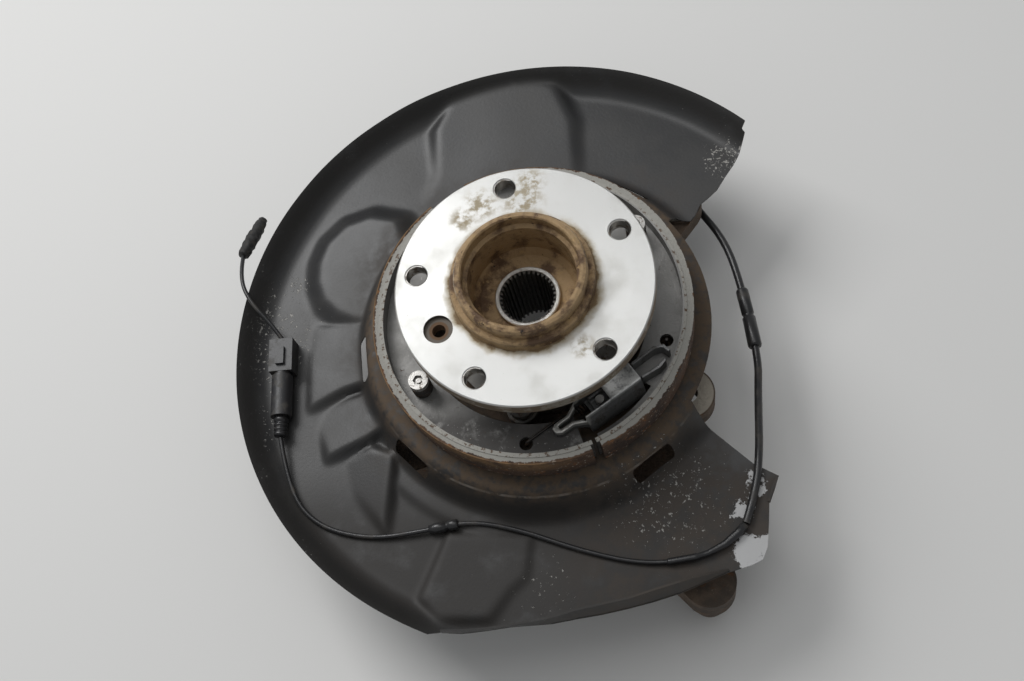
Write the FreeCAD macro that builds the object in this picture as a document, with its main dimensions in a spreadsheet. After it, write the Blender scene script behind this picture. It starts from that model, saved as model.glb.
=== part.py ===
# Rear wheel hub of a car, lying on its inboard side: the wheel carrier, the driven flange on its
# bearing, the pressed dust shield, the parking-brake shoes and the wheel-speed sensor's lead.
# Origin: centre of the wheel-mounting face. +Z: hub axis, outboard. +X: towards the caliper gap.
# Lengths are millimetres and angles are degrees.
import FreeCAD, Part
import math
import os
import Sketcher
from FreeCAD import Placement, Rotation, Vector

# Driving dimensions
DIMENSIONS = {
    "flange_radius": 71.5,
    "flange_thickness": 9.5,
    "edge_break": 0.8,
    "bolt_circle_radius": 60.0,
    "bolt_hole_radius": 6.25,
    "bolt_hole_count": 5,
    "bolt_first_angle": 28.0,
    "screw_circle_radius": 52.5,
    "screw_angle": 208.0,
    "screw_spot_radius": 8.2,
    "screw_spot_depth": 2.5,
    "screw_hole_radius": 3.75,
    "pilot_low_radius": 39.5,
    "pilot_low_height": 7.0,
    "pilot_radius": 36.25,
    "pilot_height": 15.0,
    "pilot_wall": 4.4,
    "bowl_radius": 29.8,
    "bowl_depth": 20.0,
    "collar_radius": 18.5,
    "collar_height": 2.5,
    "spline_minor_radius": 14.4,
    "spline_major_radius": 15.8,
    "spline_teeth": 35,
    "neck_radius": 33.0,
    "neck_flare": 6.0,
    "shoulder_depth": 31.0,
    "journal_radius": 22.5,
    "nose_overhang": 3.0,
    "inner_ring_width": 19.0,
    "inner_ring_wall": 6.5,
    "ball_row_wall": 8.4,
    "ball_row_width": 8.0,
    "bearing_clearance": 0.1,
    "seal_width": 2.5,
    "seal_recess": 0.8,
    "outer_ring_wall": 6.5,
    "outer_ring_top_depth": 33.0,
    "bearing_flange_depth": 58.0,
    "bearing_flange_thickness": 12.0,
    "bearing_spigot_length": 6.0,
    "bearing_bolt_circle_radius": 52.0,
    "bearing_lobe_radius": 9.0,
    "bearing_bolt_count": 4,
    "bearing_bolt_first_angle": -10.0,
    "bearing_bolt_radius": 5.0,
    "bearing_bolt_head_radius": 7.5,
    "bearing_bolt_head_height": 6.0,
    "bearing_bolt_length": 20.0,
    "bolt_clearance": 0.15,
    "recess_radius": 63.5,
    "back_ring_radius": 91.0,
    "barrel_radius": 56.0,
    "barrel_bore_radius": 41.0,
    "barrel_end_depth": 104.0,
    "arm_thickness": 20.0,
    "foot_depth": 150.0,
    "link_boss_radius": 20.0,
    "link_boss_length": 38.0,
    "link_bore_radius": 15.0,
    "bush_sleeve_radius": 9.0,
    "bush_bore_radius": 6.1,
    "bush_overhang": 2.0,
    "caliper_lug_x": 84.5,
    "caliper_lug_middle_y": 25.5,
    "caliper_lug_spacing": 128.0,
    "caliper_lug_radius": 16.0,
    "caliper_bolt_radius": 6.1,
    "caliper_face_depth": 81.0,
    "caliper_lug_height": 16.0,
    "lower_arm_x": 90.5,
    "lower_arm_y": -145.0,
    "lower_arm_radius": 15.0,
    "lower_arm_taper": 4.5,
    "lower_arm_cap": 7.0,
    "lower_arm_bore_radius": 6.1,
    "front_arm_x": -100.0,
    "front_arm_y": -60.0,
    "upper_arm_x": 18.0,
    "upper_arm_y": 120.0,
    "sheet_thickness": 1.2,
    "shield_bore_radius": 62.0,
    "plateau_depth": 56.0,
    "plateau_radius": 101.5,
    "slope_foot_radius": 113.5,
    "shield_floor_depth": 78.0,
    "rim_width": 11.0,
    "rim_radius": 185.5,
    "rim_edge_depth": 64.0,
    "press_radius": 5.0,
    "rim_press_radius": 8.0,
    "gap_ring_radius": 100.7,
    "window_radius": 106.0,
    "window_length": 27.0,
    "window_width": 5.5,
    "relief_height": 7.0,
    "panel_height": 5.0,
    "step_height": 2.5,
    "relief_flank": 6.0,
    "shield_bolt_circle_radius": 78.0,
    "shield_bolt_radius": 3.0,
    "shield_bolt_head_radius": 5.5,
    "shield_bolt_head_height": 3.5,
    "shield_bolt_length": 14.0,
    "shoe_top_depth": 33.0,
    "shoe_width": 22.7,
    "lining_radius": 92.5,
    "lining_thickness": 3.8,
    "lining_edge": 0.6,
    "table_thickness": 2.4,
    "web_thickness": 3.0,
    "web_inner_radius": 66.5,
    "brake_axis_angle": -54.5,
    "adjuster_angle": 120.0,
    "web_circle_radius": 76.0,
    "web_end_spread": 11.0,
    "left_web_end_angle": 288.5,
    "left_shoe_end_angle": 291.3,
    "right_web_end_angle": -34.0,
    "right_shoe_end_angle": -64.6,
    "left_shoe_slack": 0.2,
    "right_shoe_slack": 1.2,
    "spring_hole_radius": 3.8,
    "lower_spring_hole_circle": 77.5,
    "lower_spring_spread": 39.0,
    "upper_spring_hole_circle": 70.5,
    "upper_spring_spread": 25.0,
    "return_spring_radius": 3.5,
    "return_spring_wire": 0.85,
    "return_spring_length": 31.0,
    "hold_down_spread": 91.5,
    "hold_down_pin_radius": 1.5,
    "hold_down_pin_root": 20.0,
    "hold_down_hole_radius": 4.3,
    "hold_down_spring_radius": 6.2,
    "hold_down_spring_wall": 1.5,
    "hold_down_spring_height": 12.0,
    "hold_down_cap_radius": 5.6,
    "hold_down_cap_height": 3.6,
    "hold_down_socket_flats": 5.4,
    "expander_x": 12.9,
    "expander_y": -72.0,
    "expander_angle": 34.5,
    "expander_wall": 1.8,
    "channel_start": 16.0,
    "channel_end": 53.0,
    "channel_half_width": 6.6,
    "channel_height": 11.5,
    "claw_height": 7.0,
    "lever_end": 75.0,
    "lever_half_width": 3.2,
    "lever_height": 9.0,
    "lever_root_height": 5.8,
    "expander_pin_at": 29.0,
    "expander_pin_radius": 2.4,
    "seat_gap": 0.3,
    "adjuster_radius": 7.0,
    "adjuster_grip": 3.4,
    "adjuster_saddle_width": 10.0,
    "star_wheel_radius": 9.6,
    "star_wheel_width": 4.5,
    "star_wheel_teeth": 12,
    "sensor_angle": 72.0,
    "sensor_depth": 86.0,
    "sensor_body_radius": 8.0,
    "sensor_tip_radius": 6.0,
    "sensor_body_length": 18.0,
    "sensor_boss_radius": 11.0,
    "sensor_boss_length": 12.0,
    "sensor_ear_offset": 16.0,
    "sensor_screw_radius": 3.0,
    "thick_lead_radius": 2.3,
    "thin_lead_radius": 1.4,
    "pigtail_radius": 1.3,
    "sleeve_radius": 4.0,
    "plug_depth": 71.3,
    "plug_x": -156.0,
    "plug_y": -56.6,
    "plug_angle": 92.5,
    "plug_boot_length": 12.5,
    "plug_body_radius": 6.35,
    "plug_body_length": 28.0,
    "plug_housing_width": 14.5,
    "plug_housing_length": 21.0,
}

doc = FreeCAD.newDocument("wheel_hub")
sheet = doc.addObject("Spreadsheet::Sheet", "sizes")
for row, (alias, number) in enumerate(DIMENSIONS.items(), start=1):
    sheet.set(f"A{row}", alias)
    sheet.set(f"B{row}", str(number))
    sheet.setAlias(f"B{row}", alias)
doc.recompute()


class Size:
    """A number from the sheet together with the formula that an object is bound to."""

    def __init__(self, number, formula=None):
        self.number = float(number)
        self.formula = formula or repr(float(number))

    def __add__(self, other):
        other = as_size(other)
        return Size(self.number + other.number, f"({self.formula} + {other.formula})")

    def __radd__(self, other):
        return as_size(other) + self

    def __sub__(self, other):
        other = as_size(other)
        return Size(self.number - other.number, f"({self.formula} - {other.formula})")

    def __rsub__(self, other):
        return as_size(other) - self

    def __mul__(self, other):
        other = as_size(other)
        return Size(self.number * other.number, f"({self.formula} * {other.formula})")

    def __rmul__(self, other):
        return as_size(other) * self

    def __truediv__(self, other):
        other = as_size(other)
        return Size(self.number / other.number, f"({self.formula} / {other.formula})")

    def __rtruediv__(self, other):
        return as_size(other) / self

    def __neg__(self):
        return Size(-self.number, f"(-1 * {self.formula})")


def as_size(value):
    return value if isinstance(value, Size) else Size(value)


def dim(alias):
    return Size(sheet.get(alias), f"sizes.{alias}")


def cosine(angle):
    angle = as_size(angle)
    return Size(math.cos(math.radians(angle.number)), f"cos({angle.formula} * 1 deg)")


def sine(angle):
    angle = as_size(angle)
    return Size(math.sin(math.radians(angle.number)), f"sin({angle.formula} * 1 deg)")


def polar(radius, angle):
    """Point at a radius and an angle about the hub axis."""
    return radius * cosine(angle), radius * sine(angle)


def flat(*values):
    """Plain numbers of sizes, for shapes that are computed in this file."""
    return tuple(as_size(value).number for value in values)


parts = {}


def keep(node, obj):
    """Name a finished sub-part after the node that it becomes."""
    obj.Label = node
    parts[node] = obj
    return obj


# Sketches and bodies
def new_body(name):
    return doc.addObject("PartDesign::Body", name + "_body")


def new_sketch(body, name, role, height=None):
    sketch = body.newObject("Sketcher::SketchObject", name)
    for plane in body.Origin.OriginFeatures:
        if plane.Role == role:
            sketch.AttachmentSupport = [(plane, "")]
    sketch.MapMode = "FlatFace"
    if height is not None:
        sketch.AttachmentOffset = Placement(Vector(0, 0, height.number), Rotation())
        sketch.setExpression(".AttachmentOffset.Base.z", height.formula)
    return sketch


def bind_point(sketch, edge, end, x, y):
    """Tie one end (or centre) of a sketch edge to its sizes."""
    for kind, value in (("DistanceX", as_size(x)), ("DistanceY", as_size(y))):
        index = sketch.addConstraint(Sketcher.Constraint(kind, edge, end, value.number))
        sketch.setExpression(f"Constraints[{index}]", value.formula)


def draw_polygon(sketch, corners):
    points = [Vector(as_size(x).number, as_size(y).number, 0) for x, y in corners]
    edges = []
    for index, point in enumerate(points):
        following = points[(index + 1) % len(points)]
        edges.append(sketch.addGeometry(Part.LineSegment(point, following), False))
    for index, edge in enumerate(edges):
        following = edges[(index + 1) % len(edges)]
        sketch.addConstraint(Sketcher.Constraint("Coincident", edge, 2, following, 1))
    for edge, (x, y) in zip(edges, corners):
        bind_point(sketch, edge, 1, x, y)


def draw_circle(sketch, x, y, radius):
    x, y = as_size(x), as_size(y)
    circle = Part.Circle(Vector(x.number, y.number, 0), Vector(0, 0, 1), radius.number)
    edge = sketch.addGeometry(circle, False)
    bind_point(sketch, edge, 3, x, y)
    index = sketch.addConstraint(Sketcher.Constraint("Radius", edge, radius.number))
    sketch.setExpression(f"Constraints[{index}]", radius.formula)


def turn_body(name, corners):
    """Body of revolution about the hub axis, from (radius, height) corners."""
    body = new_body(name)
    sketch = new_sketch(body, name + "_profile", "XZ_Plane")
    draw_polygon(sketch, corners)
    turned = body.newObject("PartDesign::Revolution", name + "_turned")
    turned.Profile = sketch
    turned.ReferenceAxis = (sketch, ["V_Axis"])
    turned.Angle = 360
    doc.recompute()
    return body


def cut_down(body, name, sketch, depth):
    """Pocket from the sketch's height towards the carrier."""
    before = body.Shape.Volume
    pocket = body.newObject("PartDesign::Pocket", name)
    pocket.Profile = sketch
    pocket.Type = 0
    pocket.setExpression("Length", as_size(depth).formula)
    doc.recompute()
    if body.Shape.Volume >= before:
        raise RuntimeError(name + " cut nothing")
    return pocket


def pad_up(body, name, sketch, length):
    pad = body.newObject("PartDesign::Pad", name)
    pad.Profile = sketch
    pad.setExpression("Length", as_size(length).formula)
    doc.recompute()
    return pad


def repeat_round_axis(body, name, feature, sketch, count):
    pattern = body.newObject("PartDesign::PolarPattern", name)
    pattern.Originals = [feature]
    pattern.Axis = (sketch, ["N_Axis"])
    pattern.Angle = 360
    pattern.setExpression("Occurrences", count.formula)
    body.Tip = pattern
    doc.recompute()
    return pattern


# Primitive solids bound to the sheet
def place(obj, x=0, y=0, z=0, rotation=Rotation()):
    x, y, z = as_size(x), as_size(y), as_size(z)
    obj.Placement = Placement(Vector(x.number, y.number, z.number), rotation)
    for letter, value in (("x", x), ("y", y), ("z", z)):
        obj.setExpression(f".Placement.Base.{letter}", value.formula)
    return obj


def cylinder(name, radius, height, x=0, y=0, z=0, rotation=Rotation()):
    obj = doc.addObject("Part::Cylinder", name)
    obj.setExpression("Radius", as_size(radius).formula)
    obj.setExpression("Height", as_size(height).formula)
    return place(obj, x, y, z, rotation)


def block(name, length, width, height, x, y, z, rotation=Rotation()):
    obj = doc.addObject("Part::Box", name)
    obj.setExpression("Length", as_size(length).formula)
    obj.setExpression("Width", as_size(width).formula)
    obj.setExpression("Height", as_size(height).formula)
    return place(obj, x, y, z, rotation)


def fuse(name, pieces):
    obj = doc.addObject("Part::MultiFuse", name)
    obj.Shapes = pieces
    doc.recompute()
    return obj


def cut(name, base, tools):
    tool = tools[0] if len(tools) == 1 else fuse(name + "_tools", tools)
    obj = doc.addObject("Part::Cut", name)
    obj.Base = base
    obj.Tool = tool
    doc.recompute()
    return obj


def group(name, pieces):
    """Like pieces that share one node, as separate solids."""
    obj = doc.addObject("Part::Compound", name)
    obj.Links = pieces
    doc.recompute()
    return obj


def shaped(name, shape):
    obj = doc.addObject("Part::Feature", name)
    obj.Shape = shape
    return obj


# Heights along the hub axis
bearing_top = -dim("shoulder_depth")
bearing_middle = bearing_top - dim("inner_ring_width")
bearing_bottom = bearing_middle - dim("inner_ring_width")
seat_height = -(dim("bearing_flange_depth") + dim("bearing_flange_thickness"))
plateau_top = -dim("plateau_depth")
plateau_under = plateau_top - dim("sheet_thickness")
floor_top = -dim("shield_floor_depth")
shoe_top = -dim("shoe_top_depth")
web_top = shoe_top - (dim("shoe_width") - dim("web_thickness")) / 2
web_under = web_top - dim("web_thickness")


# Drive flange: forged and turned, with splined bore, bowl, pilot and wheel-bolt holes
def make_drive_flange():
    thickness = dim("flange_thickness")
    rim = dim("flange_radius")
    edge = dim("edge_break")
    low = dim("pilot_low_radius")
    low_top = dim("pilot_low_height")
    pilot = dim("pilot_radius")
    top = dim("pilot_height")
    mouth = pilot - dim("pilot_wall")
    bowl = dim("bowl_radius")
    bowl_floor = -dim("bowl_depth")
    collar = dim("collar_radius")
    collar_top = bowl_floor + dim("collar_height")
    bore = dim("spline_minor_radius")
    journal = dim("journal_radius")
    nose = bearing_bottom - dim("nose_overhang")
    neck = dim("neck_radius")
    flare = dim("neck_flare")
    corners = [
        (bore, nose),
        (journal, nose),
        (journal, bearing_top),
        (neck, bearing_top),
        (neck, -thickness - flare),
        (neck + flare, -thickness),
        (rim - edge, -thickness),
        (rim, -thickness + edge),
        (rim, -edge),
        (rim - edge, 0),
        (low, 0),
        (low, low_top - edge),
        (low - edge, low_top),
        (pilot, low_top),
        (pilot, top - 3 * edge),
        (pilot - edge, top - edge),
        (pilot - 3 * edge, top),
        (mouth + edge, top),
        (mouth, top - edge),
        (mouth, low_top + edge),
        (bowl, low_top - edge),
        (bowl, bowl_floor + 5 * edge),
        (bowl - 4 * edge, bowl_floor),
        (collar, bowl_floor),
        (collar, collar_top - edge),
        (collar - edge, collar_top),
        (dim("spline_major_radius") + edge, collar_top),
        (bore, collar_top - 2 * edge),
    ]
    body = turn_body("drive_flange", corners)

    sketch = new_sketch(body, "wheel_bolt_hole", "XY_Plane")
    x, y = polar(dim("bolt_circle_radius"), dim("bolt_first_angle"))
    draw_circle(sketch, x, y, dim("bolt_hole_radius"))
    hole = cut_down(body, "wheel_bolt_pocket", sketch, thickness)
    pattern = repeat_round_axis(body, "wheel_bolt_holes", hole, sketch, dim("bolt_hole_count"))

    mouths = []
    for index, edge_shape in enumerate(pattern.Shape.Edges, start=1):
        curve = edge_shape.Curve
        if not isinstance(curve, Part.Circle) or abs(curve.Center.z) > 1e-6:
            continue
        if abs(curve.Radius - dim("bolt_hole_radius").number) < 1e-6:
            mouths.append(f"Edge{index}")
    chamfer = body.newObject("PartDesign::Chamfer", "wheel_bolt_mouths")
    chamfer.Base = (pattern, mouths)
    chamfer.setExpression("Size", (edge / 2).formula)
    doc.recompute()

    x, y = polar(dim("screw_circle_radius"), dim("screw_angle"))
    sketch = new_sketch(body, "screw_spot", "XY_Plane")
    draw_circle(sketch, x, y, dim("screw_spot_radius"))
    cut_down(body, "screw_spotface", sketch, dim("screw_spot_depth"))
    sketch = new_sketch(body, "screw_hole", "XY_Plane")
    draw_circle(sketch, x, y, dim("screw_hole_radius"))
    cut_down(body, "screw_thread_hole", sketch, thickness)

    major = dim("spline_major_radius")
    half_root = major * math.pi / dim("spline_teeth") * 0.42
    half_mouth = major * math.pi / dim("spline_teeth") * 0.62
    sketch = new_sketch(body, "spline_space", "XY_Plane", collar_top)
    draw_polygon(sketch, [
        (bore - edge, -half_mouth),
        (major, -half_root),
        (major, half_root),
        (bore - edge, half_mouth),
    ])
    space = cut_down(body, "spline_space_pocket", sketch, collar_top - nose)
    repeat_round_axis(body, "splines", space, sketch, dim("spline_teeth"))
    keep("drive_flange", body)


# Wheel bearing: two inner rings, two rows of caged balls, two seals and a flanged outer ring
def make_bearing():
    journal = dim("journal_radius")
    inner = journal + dim("inner_ring_wall")
    outer = inner + dim("ball_row_wall") + 2 * dim("bearing_clearance")
    width = dim("inner_ring_width")
    edge = dim("edge_break")
    for side, top in (("outboard", bearing_top), ("inboard", bearing_middle)):
        name = "bearing_inner_ring_" + side
        keep(name, turn_body(name, [
            (journal, top - width),
            (inner, top - width),
            (inner, top),
            (journal, top),
        ]))
        name = "ball_row_" + side
        row_top = top - (width - dim("ball_row_width")) / 2
        row_under = row_top - dim("ball_row_width")
        keep(name, turn_body(name, [
            (inner, row_under),
            (outer - dim("bearing_clearance"), row_under),
            (outer - dim("bearing_clearance"), row_top),
            (inner, row_top),
        ]))

    ring_top = -dim("outer_ring_top_depth")
    ring_under = seat_height - dim("bearing_spigot_length")
    recess = dim("seal_recess")
    inboard_seal = bearing_bottom + dim("seal_width") + recess
    for side, top in (("outboard", ring_top - recess), ("inboard", inboard_seal)):
        name = "bearing_seal_" + side
        keep(name, turn_body(name, [
            (inner + dim("bearing_clearance"), top - dim("seal_width")),
            (outer, top - dim("seal_width")),
            (outer, top),
            (inner + dim("bearing_clearance"), top),
        ]))

    barrel = outer + dim("outer_ring_wall")
    flange_top = -dim("bearing_flange_depth")
    flange_edge = dim("bearing_bolt_circle_radius")
    body = turn_body("bearing_outer_ring", [
        (outer, ring_under),
        (barrel, ring_under),
        (barrel, seat_height),
        (flange_edge, seat_height),
        (flange_edge, flange_top),
        (barrel, flange_top),
        (barrel, ring_top),
        (outer, ring_top),
    ])
    x, y = polar(dim("bearing_bolt_circle_radius"), dim("bearing_bolt_first_angle"))
    sketch = new_sketch(body, "bearing_lobe", "XY_Plane", seat_height)
    draw_circle(sketch, x, y, dim("bearing_lobe_radius"))
    lobe = pad_up(body, "bearing_lobe_pad", sketch, dim("bearing_flange_thickness"))
    repeat_round_axis(body, "bearing_lobes", lobe, sketch, dim("bearing_bolt_count"))
    sketch = new_sketch(body, "bearing_bolt_hole", "XY_Plane", flange_top)
    draw_circle(sketch, x, y, dim("bearing_bolt_radius") + dim("bolt_clearance"))
    hole = cut_down(body, "bearing_bolt_pocket", sketch, dim("bearing_flange_thickness"))
    repeat_round_axis(body, "bearing_bolt_holes", hole, sketch, dim("bearing_bolt_count"))
    keep("bearing_outer_ring", body)

    bolts = []
    for number in range(int(dim("bearing_bolt_count").number)):
        angle = dim("bearing_bolt_first_angle") + 360.0 * number / dim("bearing_bolt_count")
        x, y = polar(dim("bearing_bolt_circle_radius"), angle)
        head = cylinder(f"bearing_bolt_head_{number}", dim("bearing_bolt_head_radius"),
                        dim("bearing_bolt_head_height"), x, y, flange_top)
        shank = cylinder(f"bearing_bolt_shank_{number}", dim("bearing_bolt_radius"),
                         dim("bearing_bolt_length"), x, y, flange_top - dim("bearing_bolt_length"))
        bolts.append(fuse(f"bearing_bolt_{number}", [head, shank]))
    keep("bearing_bolts", group("bearing_bolts", bolts))


def hull_plate(near_radius, x, y, far_radius, top, thickness):
    """Plate round the hub axis and a far point, with straight tangent flanks."""
    near, x, y, far, top, thickness = flat(near_radius, x, y, far_radius, top, thickness)
    reach = math.hypot(x, y)
    heading = math.atan2(y, x)
    lean = math.acos((near - far) / reach)

    def at(centre, radius, angle):
        return centre + Vector(radius * math.cos(angle), radius * math.sin(angle), 0)

    hub = Vector(0, 0, top)
    tip = Vector(x, y, top)
    left, right = heading + lean, heading - lean
    edges = [
        Part.LineSegment(at(hub, near, right), at(tip, far, right)).toShape(),
        Part.Arc(at(tip, far, right), at(tip, far, heading), at(tip, far, left)).toShape(),
        Part.LineSegment(at(tip, far, left), at(hub, near, left)).toShape(),
        Part.Arc(at(hub, near, left), at(hub, near, heading + math.pi), at(hub, near, right)).toShape(),
    ]
    return Part.Face(Part.Wire(edges)).extrude(Vector(0, 0, -thickness))


# Wheel carrier: one iron casting with the bearing seat, brake ring, caliper lugs and link arms
def make_carrier():
    edge = dim("edge_break")
    barrel = dim("barrel_radius")
    back = dim("back_ring_radius")
    outer = (dim("journal_radius") + dim("inner_ring_wall") + dim("ball_row_wall")
             + 2 * dim("bearing_clearance") + dim("outer_ring_wall") + dim("seat_gap") / 3)
    spigot_end = seat_height - dim("bearing_spigot_length") - 2
    arm_top = seat_height - 14
    arm = dim("arm_thickness")
    casting = turn_body("carrier_core", [
        (outer, seat_height),
        (dim("recess_radius"), seat_height),
        (dim("recess_radius"), plateau_under),
        (back - 3, plateau_under),
        (back, plateau_under - 3),
        (back, seat_height),
        (back - 19, arm_top),
        (barrel + 3, arm_top - 8),
        (barrel, arm_top - 11),
        (barrel, -dim("barrel_end_depth")),
        (dim("barrel_bore_radius"), -dim("barrel_end_depth")),
        (dim("barrel_bore_radius"), spigot_end),
        (outer, spigot_end),
    ])

    foot = -dim("foot_depth")
    lug_y = [dim("caliper_lug_middle_y") - dim("caliper_lug_spacing") / 2,
             dim("caliper_lug_middle_y") + dim("caliper_lug_spacing") / 2]
    lug_top = -dim("caliper_face_depth")
    pieces = [casting]
    holes = []
    for number, y in enumerate(lug_y):
        x = dim("caliper_lug_x")
        plate = hull_plate(barrel / 2, x, y, dim("caliper_lug_radius"), lug_top - 2,
                           dim("caliper_lug_height") - 2)
        pieces.append(shaped(f"caliper_arm_{number}", plate))
        pieces.append(cylinder(f"caliper_lug_{number}", dim("caliper_lug_radius"),
                               dim("caliper_lug_height"), x, y, lug_top - dim("caliper_lug_height")))
        holes.append(cylinder(f"caliper_hole_{number}", dim("caliper_bolt_radius"),
                              dim("caliper_lug_height"), x, y, lug_top - dim("caliper_lug_height")))

    x, y = dim("lower_arm_x"), dim("lower_arm_y")
    radius = dim("lower_arm_radius")
    lower = hull_plate(barrel - 6, x, y, radius, arm_top - 10, arm + 6)
    pieces.append(shaped("lower_arm", lower))
    lower_height = dim("foot_depth") + arm_top - 10
    boss = doc.addObject("Part::Cone", "lower_arm_boss")
    boss.setExpression("Radius1", (radius - dim("lower_arm_taper")).formula)
    boss.setExpression("Radius2", radius.formula)
    boss.setExpression("Height", lower_height.formula)
    pieces.append(place(boss, x, y, foot))
    holes.append(cylinder("lower_arm_bore", dim("lower_arm_bore_radius"),
                          lower_height - dim("lower_arm_cap"), x, y, foot))

    for name in ("front", "upper"):
        x, y = dim(name + "_arm_x"), dim(name + "_arm_y")
        plate = hull_plate(barrel - 8, x, y, dim("link_boss_length") / 2, arm_top - 12, arm)
        pieces.append(shaped(name + "_arm", plate))
        pieces.append(link_cylinder(name + "_link_boss", x, y, dim("link_boss_radius"),
                                    dim("link_boss_length")))
        holes.append(link_cylinder(name + "_link_bore", x, y, dim("link_bore_radius"),
                                   dim("link_boss_length") + 2 * dim("link_boss_radius")))

    pieces.append(adjuster_saddle("adjuster_saddle", 0))

    pieces.append(radial_cylinder("sensor_boss", dim("sensor_boss_radius"), barrel - 4,
                                  barrel + dim("sensor_boss_length")))
    holes.append(radial_cylinder("sensor_bore", dim("sensor_tip_radius") + dim("bolt_clearance"),
                                 dim("barrel_bore_radius") - 4,
                                 barrel + dim("sensor_boss_length")))
    pieces.append(radial_cylinder("sensor_ear", dim("sensor_screw_radius") + 3.5, barrel - 6,
                                  barrel + dim("sensor_boss_length"), dim("sensor_ear_offset")))
    holes.append(radial_cylinder("sensor_screw_thread",
                                 dim("sensor_screw_radius") + dim("bolt_clearance") / 3,
                                 barrel - 2, barrel + dim("sensor_boss_length"),
                                 dim("sensor_ear_offset")))

    boss_end = barrel + dim("sensor_boss_length")
    holes.append(radial_cylinder("sensor_pocket", dim("sensor_body_radius") + 1.6, boss_end,
                                 boss_end + 25))
    holes.append(radial_cylinder("sensor_lug_pocket", dim("sensor_body_radius") + 0.8, boss_end,
                                 boss_end + 25, dim("sensor_ear_offset")))

    for number in range(int(dim("bearing_bolt_count").number)):
        angle = dim("bearing_bolt_first_angle") + 360.0 * number / dim("bearing_bolt_count")
        x, y = polar(dim("bearing_bolt_circle_radius"), angle)
        holes.append(cylinder(f"bearing_bolt_thread_{number}",
                              dim("bearing_bolt_radius") + dim("bolt_clearance") / 3,
                              dim("bearing_bolt_length"), x, y,
                              -dim("bearing_flange_depth") - dim("bearing_bolt_length") - 1))
    for number, angle in enumerate(SHIELD_BOLT_ANGLES):
        x, y = polar(dim("shield_bolt_circle_radius"), angle)
        holes.append(cylinder(f"shield_bolt_thread_{number}",
                              dim("shield_bolt_radius") + dim("bolt_clearance") / 3,
                              dim("shield_bolt_length"), x, y,
                              plateau_under - dim("shield_bolt_length")))
    for number, angle in enumerate(hold_down_angles()):
        x, y = polar(dim("web_circle_radius"), angle)
        holes.append(cylinder(f"hold_down_pin_hole_{number}",
                              dim("hold_down_pin_radius") + dim("bolt_clearance") / 3,
                              dim("hold_down_pin_root"), x, y,
                              plateau_under - dim("hold_down_pin_root")))
    holes.append(cylinder("shaft_bore", dim("barrel_bore_radius"),
                          spigot_end + dim("foot_depth"), 0, 0, foot))
    keep("wheel_carrier", cut("wheel_carrier", fuse("carrier_casting", pieces), holes))


def link_height():
    return dim("link_boss_radius") - dim("foot_depth")


def link_cylinder(name, x, y, radius, length):
    """Cylinder with its axis level and square to the arm that carries it."""
    heading = math.degrees(math.atan2(y.number, x.number))
    reach = math.hypot(x.number, y.number)
    across_x = -y / reach
    across_y = x / reach
    rotation = Rotation(Vector(0, 0, 1), heading + 90) * Rotation(Vector(0, 1, 0), 90)
    start_x = x - across_x * length / 2
    start_y = y - across_y * length / 2
    return cylinder(name, radius, length, start_x, start_y, link_height(), rotation)


def radial_cylinder(name, radius, near, far, sideways=0):
    """Cylinder that points outwards at the sensor's angle and height, moved sideways if wanted."""
    angle = dim("sensor_angle")
    x = near * cosine(angle) - sideways * sine(angle)
    y = near * sine(angle) + sideways * cosine(angle)
    rotation = Rotation(Vector(0, 0, 1), angle.number) * Rotation(Vector(0, 1, 0), 90)
    return cylinder(name, radius, far - near, x, y, -dim("sensor_depth"), rotation)


def adjuster_point(along):
    """Point on the adjuster's axis, measured from its middle towards the right-hand shoe."""
    reach = dim("web_circle_radius") * cosine(dim("web_end_spread"))
    x = reach * cosine(dim("adjuster_angle")) + along * sine(dim("adjuster_angle"))
    y = reach * sine(dim("adjuster_angle")) - along * cosine(dim("adjuster_angle"))
    return x, y


def adjuster_saddle(name, play):
    """Block that carries the adjuster; with play it is the space that the shield leaves for it."""
    width = dim("adjuster_saddle_width") + 2 * play
    x, y = adjuster_point(as_size(play) - 2.5)
    turn = Rotation(Vector(0, 0, 1), dim("adjuster_angle").number)
    start_x = x - (3 + play) * cosine(dim("adjuster_angle"))
    start_y = y - (3 + play) * sine(dim("adjuster_angle"))
    top = web_top - dim("web_thickness") / 2 - dim("adjuster_radius") - dim("seat_gap") / 3
    return block(name, 8 + 2 * play, width, top - plateau_under + 5, start_x, start_y,
                 plateau_under - 5, turn)


def hold_down_angles():
    axis = dim("brake_axis_angle")
    return axis - dim("hold_down_spread"), axis + dim("hold_down_spread")


# Link bushes: rubber bonded between a steel sleeve and the arm's bore
def make_link_bushes():
    rubbers = []
    sleeves = []
    overhang = dim("bush_overhang")
    for name in ("front", "upper"):
        x, y = dim(name + "_arm_x"), dim(name + "_arm_y")
        rubber = link_cylinder(name + "_rubber_outside", x, y, dim("link_bore_radius"),
                               dim("link_boss_length"))
        hole = link_cylinder(name + "_rubber_hole", x, y, dim("bush_sleeve_radius"),
                             dim("link_boss_length") + 2 * overhang)
        rubbers.append(cut(name + "_bush_rubber", rubber, [hole]))
        sleeve = link_cylinder(name + "_sleeve_outside", x, y, dim("bush_sleeve_radius"),
                               dim("link_boss_length") + 2 * overhang)
        bore = link_cylinder(name + "_sleeve_bore", x, y, dim("bush_bore_radius"),
                             dim("link_boss_length") + 4 * overhang)
        sleeves.append(cut(name + "_bush_sleeve", sleeve, [bore]))
    keep("link_bush_rubbers", group("link_bush_rubbers", rubbers))
    keep("link_bush_sleeves", group("link_bush_sleeves", sleeves))


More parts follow.
